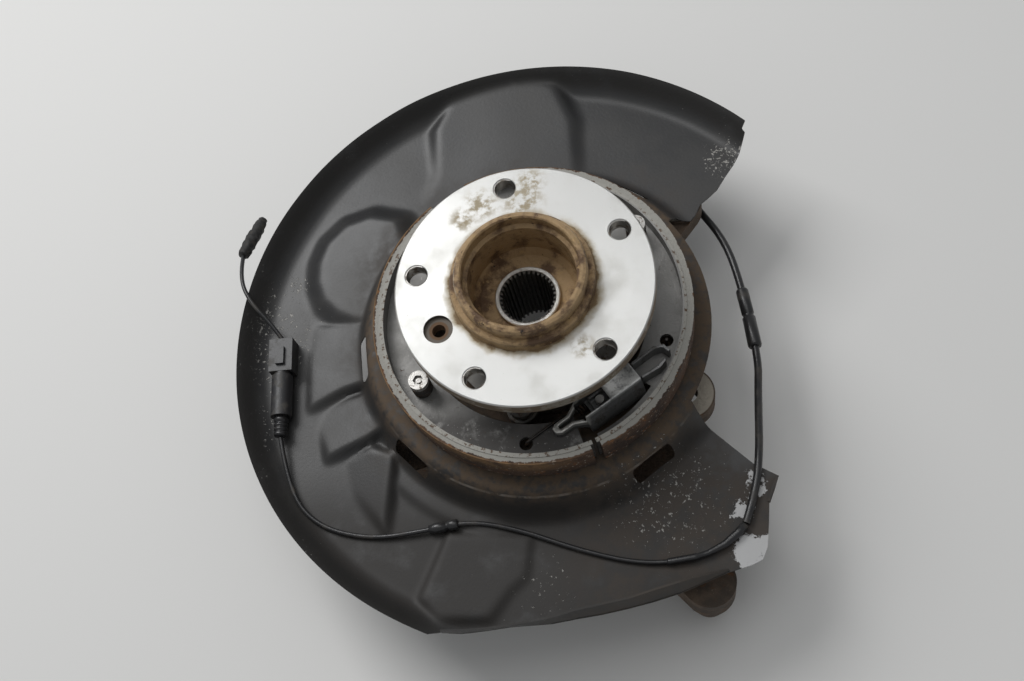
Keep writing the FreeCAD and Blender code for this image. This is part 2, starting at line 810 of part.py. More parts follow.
# Paths of straight runs joined by tangent arcs, for the pressed section and the cords
def rounded_edges(points, radii):
    """Edges through the points, each inner corner rounded to its radius."""
    edges = []
    start = points[0]
    for before, corner, following, radius in zip(points[:-2], points[1:-1], points[2:], radii):
        towards = (corner - before).normalize()
        away = (following - corner).normalize()
        half_turn = math.acos(max(-1.0, min(1.0, towards.dot(away)))) / 2
        setback = radius * math.tan(half_turn)
        entry = corner - towards * setback
        leave = corner + away * setback
        inward = (away - towards).normalize()
        crown = corner + inward * (radius / math.cos(half_turn) - radius)
        edges.append(Part.LineSegment(start, entry).toShape())
        edges.append(Part.Arc(entry, crown, leave).toShape())
        start = leave
    edges.append(Part.LineSegment(start, points[-1]).toShape())
    return edges


def bevelled_edges(points, radii, chords=2):
    """Edges through the points, each inner corner bent in chords round its radius."""
    corners = [points[0]]
    for edge in rounded_edges(points, radii):
        if isinstance(edge.Curve, Part.Circle):
            corners += edge.discretize(chords + 1)
    corners.append(points[-1])
    return [Part.LineSegment(*pair).toShape() for pair in zip(corners[:-1], corners[1:])]


def shifted_line(points, distance):
    """A bent line in the XZ plane moved down and outwards, with mitred corners."""
    normals = []
    for before, after in zip(points[:-1], points[1:]):
        along = (after - before).normalize()
        normals.append(Vector(along.z, 0, -along.x))
    moved = [points[0] + normals[0] * distance]
    for corner, first, second in zip(points[1:-1], normals[:-1], normals[1:]):
        mitre = (first + second).normalize()
        moved.append(corner + mitre * (distance / mitre.dot(first)))
    return moved + [points[-1] + normals[-1] * distance]


def solid_under(points, radii, base):
    """Solid of revolution about the hub axis that fills the space under a bent line."""
    first, last = points[0], points[-1]
    edges = bevelled_edges(points, radii)
    edges.append(Part.LineSegment(last, Vector(last.x, 0, base)).toShape())
    edges.append(Part.LineSegment(Vector(last.x, 0, base), Vector(first.x, 0, base)).toShape())
    edges.append(Part.LineSegment(Vector(first.x, 0, base), first).toShape())
    return Part.Face(Part.Wire(edges)).revolve(Vector(), Vector(0, 0, 1), 360)


def prism(outline, low, high):
    """Upright prism on (x, y) corners."""
    corners = [Vector(x, y, low) for x, y in outline]
    return Part.Face(Part.makePolygon(corners + corners[:1])).extrude(Vector(0, 0, high - low))


def pad(outline, low, high, flank):
    """Raised pad with sloping flanks, on (x, y) corners of its foot."""
    middle = sum((Vector(x, y, 0) for x, y in outline), Vector()) * (1 / len(outline))
    foot = [Vector(x, y, low) for x, y in outline]
    crown = []
    for point in foot:
        inward = (middle - Vector(point.x, point.y, 0)).normalize()
        crown.append(Vector(point.x, point.y, high) + inward * flank)
    return Part.makeLoft([Part.makePolygon(foot + foot[:1]), Part.makePolygon(crown + crown[:1])],
                         True, True)


# Foot outlines of the shield's embossed panels, as (x, y) corners
BULGE = [(-92, 76), (-110, 92), (-134, 97), (-152, 78), (-151, 44), (-138, 18), (-110, 11), (-94, 24)]
UPPER_PANEL = [(-106, 0), (-141, 2), (-142, -36), (-104, -33)]
LOWER_PANEL = [(-102, -39), (-138, -42), (-125, -72), (-90, -68)]
FOOT_PANEL = [(-84, -76), (-120, -84), (-113, -106), (-92, -109), (-68, -94)]
LOW_STEP = [(-24, -121), (-52, -124), (-63, -154), (-48, -164), (-24, -166)]
TOP_STEP = [(22, 116), (19, 158), (-20, 166), (-64, 152), (-66, 108), (-30, 118)]
# Outline of the cut-away side of the shield, as (x, y) corners
CUT_AWAY = [(-90, -300), (-72, -174.8), (-33.5, -172.5), (10, -165), (53, -157), (96, -148),
            (112, -143), (120, -138), (123.3, -131), (125.5, -110), (129.2, -91.5), (89.2, -55.8),
            (50, -30), (50, 40), (83.2, 73), (92.6, 72.6), (95.8, 76.8), (108.6, 89.3),
            (125.6, 117.3), (128.7, 126.4), (180, 180), (300, 180), (300, -300)]
# Shield bolts and windows, as angles about the hub axis
SHIELD_BOLT_ANGLES = (-120.0, 0.0, 85.0)
WINDOW_ANGLES = (-173.5, -134.5, -53.0, 58.0)


# Dust shield: steel pressing with a flared rim, a raised plateau, embossed panels and windows
def make_dust_shield():
    thickness, bore, plateau, foot, root, rim = flat(
        dim("sheet_thickness"), dim("shield_bore_radius"), dim("plateau_radius"),
        dim("slope_foot_radius"), dim("rim_radius") - dim("rim_width"), dim("rim_radius"))
    top, floor, edge_height = flat(plateau_top, floor_top, -dim("rim_edge_depth"))
    press, rim_press = flat(dim("press_radius"), dim("rim_press_radius"))
    base = floor - 20
    upper = [Vector(bore, 0, top), Vector(plateau, 0, top), Vector(foot, 0, floor),
             Vector(root, 0, floor), Vector(rim, 0, edge_height)]
    rise = upper[-1] - upper[-2]
    reach = upper[:-1] + [upper[-1] + rise]
    lower = shifted_line([Vector(bore - 5, 0, top)] + reach[1:], thickness)
    outside = solid_under(upper, [press, press, rim_press], base)
    inside = solid_under(lower, [press - thickness, press + thickness, rim_press + thickness],
                         base - 5)

    relief, panel, step, flank = flat(dim("relief_height"), dim("panel_height"),
                                      dim("step_height"), dim("relief_flank"))
    pads = [(BULGE, relief, 2 * flank), (UPPER_PANEL, panel, flank), (LOWER_PANEL, panel, flank),
            (FOOT_PANEL, panel, flank), (LOW_STEP, step, flank / 2), (TOP_STEP, step, flank / 2)]
    down = Vector(0, 0, -thickness)
    raised = [pad(outline, floor - thickness / 2, floor + height, slope)
              for outline, height, slope in pads]
    wall_outside, wall_inside = chord_wall(thickness, floor, edge_height, base)
    outside = outside.fuse(raised + [wall_outside])
    inside = inside.fuse([shape.translated(down) for shape in raised] + [wall_inside])
    shield = outside.cut(inside)

    gap = Part.makeCylinder(dim("gap_ring_radius").number, 60, Vector(0, 0, base - 10))
    cuts = [prism(CUT_AWAY, base - 10, base + 50).cut(gap)]
    for angle in WINDOW_ANGLES:
        length, width, radius = flat(dim("window_length"), dim("window_width"),
                                     dim("window_radius"))
        window = Part.makeBox(width, length, 60, Vector(radius - width / 2, -length / 2, base))
        window.rotate(Vector(), Vector(0, 0, 1), angle)
        cuts.append(window)
    saddle_space = adjuster_saddle("shield_adjuster_window", dim("seat_gap"))
    doc.recompute()
    cuts.append(saddle_space.Shape)
    for angle in SHIELD_BOLT_ANGLES:
        x, y = flat(*polar(dim("shield_bolt_circle_radius"), angle))
        hole, = flat(dim("shield_bolt_radius") + dim("bolt_clearance"))
        cuts.append(Part.makeCylinder(hole, 60, Vector(x, y, base)))
    for angle in hold_down_angles():
        x, y = flat(*polar(dim("web_circle_radius"), angle))
        hole, = flat(dim("hold_down_pin_radius") + dim("bolt_clearance"))
        cuts.append(Part.makeCylinder(hole, 60, Vector(x, y, base)))
    keep("dust_shield", shaped("dust_shield", shield.cut(cuts)))


def chord_wall(thickness, floor, edge_height, base):
    """Upturned wall along the straight side of the shield: its outer and inner filling solids."""
    fillings = []
    lean = 0.3 * (edge_height - floor)
    for shift in (0.0, thickness):
        solids = []
        for start, end in zip(CUT_AWAY[1:6], CUT_AWAY[2:7]):
            along = Vector(end[0] - start[0], end[1] - start[1], 0).normalize()
            outward = Vector(along.y, -along.x, 0)
            corner = Vector(start[0], start[1], 0) - along * 0.6
            length = math.hypot(end[0] - start[0], end[1] - start[1]) + 1.2
            foot = corner - outward * (lean + thickness - shift)
            head = corner - outward * (thickness - shift)
            height = 2 * edge_height - floor
            far = corner + outward * 30
            section = Part.makePolygon([foot + Vector(0, 0, base - shift), foot + Vector(0, 0, floor - shift),
                                        head + outward * lean + Vector(0, 0, height - shift),
                                        far + Vector(0, 0, height - shift), far + Vector(0, 0, base - shift),
                                        foot + Vector(0, 0, base - shift)])
            solids.append(Part.Face(section).extrude(along * length))
        fillings.append(solids[0].fuse(solids[1:]))
    trim = Part.makeBox(500, 500, 50, Vector(-250, -250, edge_height))
    return fillings[0].cut(trim), fillings[1]


def swing(obj, x, y, angle):
    """Turn an object about an upright axis through a point."""
    base_x = x - x * cosine(angle) + y * sine(angle)
    base_y = y - x * sine(angle) - y * cosine(angle)
    return place(obj, base_x, base_y, 0, Rotation(Vector(0, 0, 1), angle.number))


def ring_sector(name, inner, outer, top, height, start, end):
    turn = Rotation(Vector(0, 0, 1), start.number)
    outside = cylinder(name + "_outside", outer, height, 0, 0, top - height, turn)
    outside.setExpression("Angle", (end - start).formula)
    return cut(name, outside, [cylinder(name + "_inside", inner, height, 0, 0, top - height)])


def shoe_pivot(side):
    """Point where a shoe's web bears on the adjuster."""
    spread = dim("web_end_spread")
    angle = dim("adjuster_angle") + (spread if side == "left" else -spread)
    return polar(dim("web_circle_radius"), angle)


def spring_eye(side, level):
    """Web hole that takes the end of a return spring, where the shoe rests."""
    if level == "lower":
        angle = dim("brake_axis_angle")
    else:
        angle = dim("adjuster_angle")
    spread = dim(level + "_spring_spread")
    clockwise = (side == "left") == (level == "lower")
    angle = angle - spread if clockwise else angle + spread
    return polar(dim(level + "_spring_hole_circle"), angle)


# Brake shoes: pressed web welded to a rolled table, with a bonded lining round it
def make_shoe(side):
    left = side == "left"
    lining = dim("lining_radius")
    table = lining - dim("lining_thickness")
    web_edge = table - dim("table_thickness")
    height = dim("shoe_width")
    ends = dim("adjuster_angle")
    if left:
        web_start, web_end = ends + dim("web_end_spread"), dim("left_web_end_angle")
        shoe_start, shoe_end = ends + dim("web_end_spread") - 1.5, dim("left_shoe_end_angle")
        slack = dim("left_shoe_slack")
    else:
        web_start, web_end = dim("right_web_end_angle"), ends - dim("web_end_spread")
        shoe_start, shoe_end = dim("right_shoe_end_angle"), ends - 3
        slack = -dim("right_shoe_slack")
    pieces = [
        ring_sector(side + "_table", web_edge, table, shoe_top, height, shoe_start, shoe_end),
        ring_sector(side + "_web", dim("web_inner_radius"), web_edge, web_top,
                    dim("web_thickness"), web_start, web_end),
    ]
    if not left:
        pieces.append(ring_sector("right_web_tail", web_edge - 5, web_edge, web_top,
                                  dim("web_thickness"), shoe_start + 2, web_start))
    pivot_x, pivot_y = shoe_pivot(side)
    blank = swing(fuse(side + "_shoe_blank", pieces), pivot_x, pivot_y, slack)
    holes = []
    for level in ("lower", "upper"):
        x, y = spring_eye(side, level)
        holes.append(cylinder(f"{side}_{level}_spring_hole", dim("spring_hole_radius"), 20, x, y,
                              web_under - 8))
    angle = hold_down_angles()[0 if left else 1]
    x, y = polar(dim("web_circle_radius"), angle)
    holes.append(cylinder(side + "_hold_down_hole", dim("hold_down_hole_radius"), 20, x, y,
                          web_under - 8))
    keep("brake_shoe_" + side, cut("brake_shoe_" + side, blank, holes))

    edge = dim("lining_edge")
    band = ring_sector(side + "_lining_band", table, lining, shoe_top - edge, height - 2 * edge,
                       shoe_start + 1, shoe_end - 1)
    keep("brake_lining_" + side, swing(band, pivot_x, pivot_y, slack))


# Adjuster: a slotted sleeve and a slotted screw with a star wheel, between the shoes' upper ends
def make_adjuster():
    turn = Rotation(Vector(0, 0, 1), dim("adjuster_angle").number - 90) * Rotation(Vector(0, 1, 0), 90)
    half = dim("web_circle_radius") * sine(dim("web_end_spread"))
    grip = dim("adjuster_grip")
    radius = dim("adjuster_radius")
    screw = radius * 0.6
    height = web_top - dim("web_thickness") / 2

    def along(name, part_radius, start, end):
        x, y = adjuster_point(start)
        return cylinder(name, part_radius, end - start, x, y, height, turn)

    def slot(name, side):
        """Cut that takes the web's end, square to the adjuster."""
        bottom = half - grip / 2
        start, end = (-half - 2 * grip, -bottom) if side == "left" else (bottom, half + 2 * grip)
        x, y = adjuster_point(start)
        across = dim("adjuster_angle")
        width = 3 * radius
        x = x - width / 2 * cosine(across)
        y = y - width / 2 * sine(across)
        tall = dim("web_thickness") + 2 * dim("seat_gap")
        return block(name, end - start, width, tall, x, y, height - tall / 2,
                     Rotation(Vector(0, 0, 1), across.number - 90))

    sleeve = along("sleeve_outside", radius, -half - grip, as_size(-1.5))
    bore = along("sleeve_bore", screw + dim("bolt_clearance") / 3, -half + grip, as_size(0))
    keep("adjuster_sleeve", cut("adjuster_sleeve", sleeve, [bore, slot("sleeve_slot", "left")]))

    count = int(dim("star_wheel_teeth").number)
    outer, = flat(dim("star_wheel_radius"))
    corners = []
    for number in range(2 * count):
        reach = outer if number % 2 else outer * 0.8
        corners.append((reach * math.cos(math.pi * number / count),
                        reach * math.sin(math.pi * number / count)))
    wheel = shaped("star_wheel", prism(corners, 0, dim("star_wheel_width").number))
    x, y = adjuster_point(as_size(-1.2))
    place(wheel, x, y, height, turn)
    shank = along("screw_shank", screw, -half + grip + 1, as_size(1))
    head = along("screw_head", radius * 0.8, as_size(1), half + grip)
    keep("adjuster_screw", cut("adjuster_screw", fuse("adjuster_screw_blank", [wheel, shank, head]),
                               [slot("screw_slot", "right")]))


# Hold-downs: a pin from the carrier through each web, a spring and a cap with a hexagon socket
def make_hold_downs():
    pins = []
    springs = []
    caps = []
    pin = dim("hold_down_pin_radius")
    spring = dim("hold_down_spring_radius")
    spring_top = web_top + dim("hold_down_spring_height")
    cap_top = spring_top + dim("hold_down_cap_height")
    for number, angle in enumerate(hold_down_angles()):
        x, y = polar(dim("web_circle_radius"), angle)
        root = plateau_under - dim("hold_down_pin_root")
        pins.append(cylinder(f"hold_down_pin_{number}", pin, cap_top - 1 - root, x, y, root))
        outside = cylinder(f"hold_down_spring_outside_{number}", spring,
                           dim("hold_down_spring_height"), x, y, web_top)
        inside = cylinder(f"hold_down_spring_inside_{number}",
                          spring - dim("hold_down_spring_wall"),
                          dim("hold_down_spring_height"), x, y, web_top)
        springs.append(cut(f"hold_down_spring_{number}", outside, [inside]))
        cap = cylinder(f"hold_down_cap_outside_{number}", dim("hold_down_cap_radius"),
                       dim("hold_down_cap_height"), x, y, spring_top)
        socket = doc.addObject("Part::Prism", f"hold_down_socket_{number}")
        socket.Polygon = 6
        socket.setExpression("Circumradius", (dim("hold_down_socket_flats") / cosine(30) / 2).formula)
        socket.setExpression("Height", dim("hold_down_cap_height").formula)
        place(socket, x, y, spring_top + dim("hold_down_cap_height") * 0.35)
        hole = cylinder(f"hold_down_cap_hole_{number}", pin + dim("bolt_clearance") / 3,
                        dim("hold_down_cap_height"), x, y, spring_top)
        caps.append(cut(f"hold_down_cap_{number}", cap, [socket, hole]))
    keep("hold_down_pins", group("hold_down_pins", pins))
    keep("hold_down_springs", group("hold_down_springs", springs))
    keep("hold_down_caps", group("hold_down_caps", caps))


def tube(points, radii, radius, flats=10):
    """Tube with a many-sided section along straight runs joined by tangent arcs."""
    solids = []
    for edge in rounded_edges(points, radii):
        start, end = edge.valueAt(edge.FirstParameter), edge.valueAt(edge.LastParameter)
        along = edge.tangentAt(edge.FirstParameter)
        if not solids:
            side = along.cross(Vector(0, 0, 1)).normalize() * radius
            turn = Rotation(along, 360 / flats)
            corners = [start + side]
            for _ in range(flats - 1):
                corners.append(start + turn.multVec(corners[-1] - start))
            section = Part.Face(Part.makePolygon(corners + corners[:1]))
        if isinstance(edge.Curve, Part.Circle):
            angle = math.degrees(edge.Length / edge.Curve.Radius)
            axis = along.cross(edge.Curve.Center - start)
            solids.append(section.revolve(edge.Curve.Center, axis, angle))
            section = section.rotated(edge.Curve.Center, axis, angle)
        else:
            solids.append(section.extrude(end - start))
            section = section.translated(end - start)
    return solids[0].fuse(solids[1:])


# Return springs: close-coiled steel, with straight wire ends hooked up into the web holes
def make_return_springs():
    wire, coil, length = flat(dim("return_spring_wire"), dim("return_spring_radius"),
                              dim("return_spring_length"))
    for level in ("lower", "upper"):
        height, web = flat(plateau_top + coil + 1.9, web_top)
        left = Vector(*flat(*spring_eye("left", level)), height)
        right = Vector(*flat(*spring_eye("right", level)), height)
        along = (right - left).normalize()
        middle = (left + right) * 0.5
        body = Part.makeCylinder(coil, length, middle - along * (length / 2), along)
        hooks = []
        for eye, inward in ((left, along), (right, -along)):
            start = middle - inward * (length / 2 - 1)
            top = Vector(eye.x, eye.y, web + 1.5)
            hooks.append(tube([start, eye, top], [2 * wire], wire, 8))
        keep("return_spring_" + level, shaped("return_spring_" + level, body.fuse(hooks)))


# Expander: a pressed channel with a forked claw, a lever between its cheeks and a pivot pin
def make_expander():
    wall, start, end, half, height = flat(dim("expander_wall"), dim("channel_start"),
                                          dim("channel_end"), dim("channel_half_width"),
                                          dim("channel_height"))
    top = web_top.number + height
    foot = top - height - 3.4
    rest = web_top.number + 0.1
    pin_at, pin_radius = flat(dim("expander_pin_at"), dim("expander_pin_radius"))
    turn = Rotation(Vector(0, 0, 1), dim("expander_angle").number)

    def in_frame(name, shape):
        return place(shaped(name, shape), dim("expander_x"), dim("expander_y"), 0, turn)

    def section(inset, low):
        """Cross-section of the channel, as (sideways, height) corners."""
        return [(-half - 2 + inset, low), (-half - 1.2 + inset, top - 5), (-half + 0.6 + inset, top - inset),
                (half - 0.6 - inset, top - inset), (half + 1.2 - inset, top - 5), (half + 2 - inset, low)]

    def extruded(corners, near, far):
        points = [Vector(near, y, z) for y, z in corners]
        return Part.Face(Part.makePolygon(points + points[:1])).extrude(Vector(far - near, 0, 0))

    shell = extruded(section(0, foot), start, end)
    hollow = extruded(section(wall, foot - 1), start - 1, end + 1)
    window = Part.makeBox(pin_at + 5 - start, 2 * half - 3, 10,
                          Vector(start - 1, 1.5 - half, top - wall - 1))
    strap = Part.makeBox(14, 2 * half + 1, wall, Vector(pin_at - 7, -half - 0.5, foot))
    claw = prism([(start + 2, -half - 1.4), (9, -3.8), (1, -3.8), (-1.8, -2), (-1.8, 1.5), (1, 3),
                  (9, 3), (start + 2, half + 1.2)], rest, rest + dim("claw_height").number)
    throat = prism([(start + 3, -half + 0.2), (9.5, -1.7), (1.5, -1.6), (1.5, 0.9), (9.5, 1.1),
                    (start + 3, half - 0.6)], rest - 1, top)
    channel = shell.cut([hollow, window]).fuse([strap, claw.cut([throat, hollow])])
    pin_hole = Part.makeCylinder(pin_radius, 20, Vector(pin_at, 0, foot - 5))
    keep("expander_channel", in_frame("expander_channel", channel.cut(pin_hole)))

    pin = Part.makeCylinder(pin_radius, height - 2, Vector(pin_at, 0, foot))
    keep("expander_pin", in_frame("expander_pin", pin))

    reach, blade, tall = flat(dim("lever_end"), dim("lever_half_width"), dim("lever_height"))
    outer = blade + 2
    neck = end + 1
    near_blade = [(neck, -outer - 0.4), (reach - 9, -outer - 1.4), (reach - 4, -outer + 0.2),
                  (reach - 4, -blade), (reach - 10, -blade - 1.4), (neck, -blade - 0.6)]
    far_blade = [(neck, outer + 0.4), (reach - 5, outer + 0.8), (reach + 0.5, blade + 0.3),
                 (reach + 1.3, -1.8), (reach - 0.4, -1.8), (reach - 1.6, blade - 0.6),
                 (reach - 6, blade + 1), (neck, blade + 0.6)]
    root = rest + dim("lever_root_height").number
    bridge = Part.makeBox(14, 2 * blade + 2, 2.5, Vector(pin_at - 5, -blade - 1, rest))
    blades = prism(near_blade, rest, rest + tall).fuse([
        prism(far_blade, rest, rest + tall),
        prism([(pin_at - 5, -outer), (neck, -outer - 0.4), (neck, -blade - 0.6),
               (pin_at - 5, -blade)], rest, root),
        prism([(pin_at - 5, outer), (neck, outer + 0.4), (neck, blade + 0.6),
               (pin_at - 5, blade)], rest, root),
        bridge])
    play = dim("bolt_clearance").number / 3
    bearing = Part.makeCylinder(pin_radius + play, 20, Vector(pin_at, 0, rest - 5))
    keep("expander_lever", in_frame("expander_lever", blades.cut(bearing)))


# Shield bolts: three small screws that hold the shield on the carrier's ring
def make_shield_bolts():
    bolts = []
    for number, angle in enumerate(SHIELD_BOLT_ANGLES):
        x, y = polar(dim("shield_bolt_circle_radius"), angle)
        head = cylinder(f"shield_bolt_head_{number}", dim("shield_bolt_head_radius"),
                        dim("shield_bolt_head_height"), x, y, plateau_top)
        reach = dim("shield_bolt_length") - 1
        shank = cylinder(f"shield_bolt_shank_{number}", dim("shield_bolt_radius"), reach, x, y,
                         plateau_top - reach)
        bolts.append(fuse(f"shield_bolt_{number}", [head, shank]))
    keep("shield_bolts", group("shield_bolts", bolts))


# Wheel-speed sensor: moulded body with a tip in the carrier's bore, held by one screw
def make_sensor():
    boss_end = dim("barrel_radius") + dim("sensor_boss_length")
    flange = boss_end + 3
    body_end = flange + dim("sensor_body_length")
    offset = dim("sensor_ear_offset")
    screw = dim("sensor_screw_radius")
    pieces = [
        radial_cylinder("sensor_tip", dim("sensor_tip_radius"), boss_end - 18, boss_end),
        radial_cylinder("sensor_body", dim("sensor_body_radius"), boss_end, body_end),
        radial_cylinder("sensor_gland", dim("thick_lead_radius") + 2, body_end, body_end + 4),
        radial_cylinder("sensor_lug", screw + 3.5, boss_end, flange, offset),
    ]
    x = boss_end * cosine(dim("sensor_angle"))
    y = boss_end * sine(dim("sensor_angle"))
    tall = 2 * screw + 1
    pieces.append(block("sensor_lug_bar", 3, offset, tall, x, y, -dim("sensor_depth") - tall / 2,
                        Rotation(Vector(0, 0, 1), dim("sensor_angle").number)))
    hole = radial_cylinder("sensor_lug_hole", screw + dim("bolt_clearance"), boss_end - 5,
                           flange + 5, offset)
    keep("wheel_speed_sensor", cut("wheel_speed_sensor", fuse("sensor_blank", pieces), [hole]))
    keep("sensor_screw", fuse("sensor_screw", [
        radial_cylinder("sensor_screw_shank", screw, boss_end - 12, flange + 1, offset),
        radial_cylinder("sensor_screw_head", screw + 2, flange, flange + 4, offset),
    ]))


# Routes of the leads, as (x, y, z) corners from the sensor to the torn end
THICK_ROUTE = [(31.9, 92, -86), (35.8, 103.9, -87.5), (44.7, 113.4, -90.5), (56.8, 118.3, -94),
               (71.8, 117.5, -97.5), (84.5, 111.6, -100.3), (99.4, 91.2, -100.6), (113.2, 68.5, -100),
               (120.3, 42, -99.8), (127.8, -12, -97.2), (125.2, -38, -89.4), (122.4, -78, -75.4),
               (118.4, -101, -75.4), (111.9, -118, -75.4)]
THIN_ROUTE = [(111.5, -118.7, -75.4), (103, -128.6, -75.2), (84, -136.6, -75.3), (56, -138.8, -76.2),
              (22, -130.3, -76.3), (-14, -116.6, -75.8), (-42, -111.2, -74.6), (-68, -116, -74.6),
              (-100, -119.4, -76.2), (-132, -110.5, -76), (-149.6, -88.5, -74), (-155.9, -57.2, -71.3)]
PIGTAIL_ROUTE = [(-158.9, 5.7, -71.3), (-166.5, 16, -67.8), (-178.5, 28, -62), (-187.5, 46, -62),
                 (-188.3, 63.7, -67)]


def route_points(route):
    return [Vector(*point) for point in route]


def bend_radii(points):
    """Radius of each arc: 0.45 of the shorter run beside it."""
    radii = []
    for before, corner, following in zip(points[:-2], points[1:-1], points[2:]):
        first, second = corner - before, following - corner
        shorter = min(first.Length, second.Length)
        turn = first.getAngle(second)
        radii.append(0.45 * shorter / math.tan(turn / 2))
    return radii


def sleeve(points, run, start, end, outer, inner):
    """Straight sleeve over one run of a lead, between two fractions of that run."""
    base = points[run] + (points[run + 1] - points[run]) * start
    along = (points[run + 1] - points[run]) * (end - start)
    length = along.Length
    outside = Part.makeCylinder(outer, length, base, along)
    return outside.cut(Part.makeCylinder(inner, length, base, along))


# Sensor lead: a thick sheathed run, a thin run round the shield's floor, and the torn pigtail
def make_leads():
    thick, thin, pigtail, cover, play = flat(dim("thick_lead_radius"), dim("thin_lead_radius"),
                                             dim("pigtail_radius"), dim("sleeve_radius"),
                                             dim("seat_gap"))
    runs = {}
    for name, route, radius in (("sensor_lead_thick", THICK_ROUTE, thick),
                                ("sensor_lead_thin", THIN_ROUTE, thin),
                                ("pigtail_wires", PIGTAIL_ROUTE, pigtail)):
        points = route_points(route)
        radii = bend_radii(points)
        runs[name] = points
        cord = keep(name, shaped(name, tube(points, radii, radius)))
        length = Part.Wire(rounded_edges(points, radii)).Length
        filled = cord.Shape.Volume / (math.pi * radius ** 2 * length)
        print(name, "length", round(length, 1), "filled", round(filled, 3),
              "tightest", round(min(radii), 1))
    points = runs["sensor_lead_thick"]
    cuff = sleeve(points, 8, 0.11, 0.83, cover, thick + play / 2)
    keep("lead_sleeve", shaped("lead_sleeve", cuff))
    points = runs["sensor_lead_thin"]
    joint = sleeve(points, 1, 0.1, 0.5, thin + 1, thin + play)
    keep("lead_joint_sleeve", shaped("lead_joint_sleeve", joint))
    grommet = sleeve(points, 6, 0.25, 0.85, thin + 1.7, thin + play)
    keep("lead_grommet", shaped("lead_grommet", grommet))
    wrap_end = Vector(-181.6, 95, -77.2)
    wrap_start = runs["pigtail_wires"][-1]
    wrap_start = wrap_start + (wrap_end - wrap_start).normalize() * 0.4
    wrap = Part.makeCylinder(pigtail * 3.4, (wrap_end - wrap_start).Length, wrap_start,
                             wrap_end - wrap_start)
    keep("tape_wrap", shaped("tape_wrap", wrap))


# Plug: rubber boot, round body and a square housing with a latch
def make_plug():
    turn = Rotation(Vector(0, 0, 1), dim("plug_angle").number) * Rotation(Vector(0, 1, 0), 90)
    flat_turn = Rotation(Vector(0, 0, 1), dim("plug_angle").number)

    def along(name, radius, start, end):
        x = dim("plug_x") + start * cosine(dim("plug_angle"))
        y = dim("plug_y") + start * sine(dim("plug_angle"))
        return cylinder(name, radius, end - start, x, y, -dim("plug_depth"), turn)

    def housing(name, start, end, half_width, low, high):
        x = dim("plug_x") + start * cosine(dim("plug_angle")) + half_width * sine(dim("plug_angle"))
        y = dim("plug_y") + start * sine(dim("plug_angle")) - half_width * cosine(dim("plug_angle"))
        return block(name, end - start, 2 * half_width, high - low, x, y, low - dim("plug_depth"),
                     flat_turn)

    boot = dim("thin_lead_radius") + 2
    keep("plug_boot", along("plug_boot", boot + 0.9, 0, dim("plug_boot_length")))
    body_end = dim("plug_boot_length") + dim("plug_body_length")
    body_radius = dim("plug_body_radius")
    collar = along("plug_collar", body_radius, dim("plug_boot_length"), body_end - 2)
    neck = along("plug_neck", body_radius - 1.2, body_end - 2, body_end)
    keep("sensor_plug", fuse("sensor_plug", [collar, neck]))
    half = dim("plug_housing_width") / 2
    housing_end = body_end + dim("plug_housing_length")
    shell = housing("housing_shell", body_end, housing_end, half, -body_radius + 0.2, body_radius - 1)
    latch = housing("housing_latch", body_end + 4, housing_end - 6, as_size(2.6), body_radius - 1,
                    body_radius + 1.2)
    keep("plug_socket", fuse("plug_socket", [shell, latch]))


# Build
make_drive_flange()
make_bearing()
make_carrier()
make_link_bushes()
make_dust_shield()
make_shield_bolts()
make_shoe("left")
make_shoe("right")
make_adjuster()
make_hold_downs()
make_return_springs()
make_expander()
make_sensor()
make_leads()
make_plug()

doc.recompute()
os.makedirs("parts", exist_ok=True)
for node, obj in parts.items():
    if "Invalid" in obj.State or "Error" in obj.State or obj.Shape.isNull() or not obj.Shape.isValid():
        raise RuntimeError(node + " is not a sound solid")
    obj.Shape.exportStep(f"parts/{node}.step")
    print(node, len(obj.Shape.Solids), round(obj.Shape.Volume))
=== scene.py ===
import bpy
import math
from mathutils import Matrix, Vector, noise


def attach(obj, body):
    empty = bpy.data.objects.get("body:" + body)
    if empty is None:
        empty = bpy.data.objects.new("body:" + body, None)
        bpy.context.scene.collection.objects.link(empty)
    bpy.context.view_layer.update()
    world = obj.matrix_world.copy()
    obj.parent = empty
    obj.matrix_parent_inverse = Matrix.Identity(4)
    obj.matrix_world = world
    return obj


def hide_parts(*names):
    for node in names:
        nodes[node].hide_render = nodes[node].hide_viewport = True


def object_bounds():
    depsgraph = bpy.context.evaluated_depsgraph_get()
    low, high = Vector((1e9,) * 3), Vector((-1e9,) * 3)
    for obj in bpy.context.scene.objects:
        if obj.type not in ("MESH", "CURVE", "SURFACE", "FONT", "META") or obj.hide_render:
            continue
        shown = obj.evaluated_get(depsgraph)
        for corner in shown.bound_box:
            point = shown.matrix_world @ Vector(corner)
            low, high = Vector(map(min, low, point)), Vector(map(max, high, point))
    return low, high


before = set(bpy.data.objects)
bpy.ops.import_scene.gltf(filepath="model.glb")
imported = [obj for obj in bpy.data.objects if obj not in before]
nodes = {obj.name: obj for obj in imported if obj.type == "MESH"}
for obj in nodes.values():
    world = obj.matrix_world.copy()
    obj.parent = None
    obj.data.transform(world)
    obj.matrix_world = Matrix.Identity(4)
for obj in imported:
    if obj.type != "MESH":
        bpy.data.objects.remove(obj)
cad_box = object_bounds()

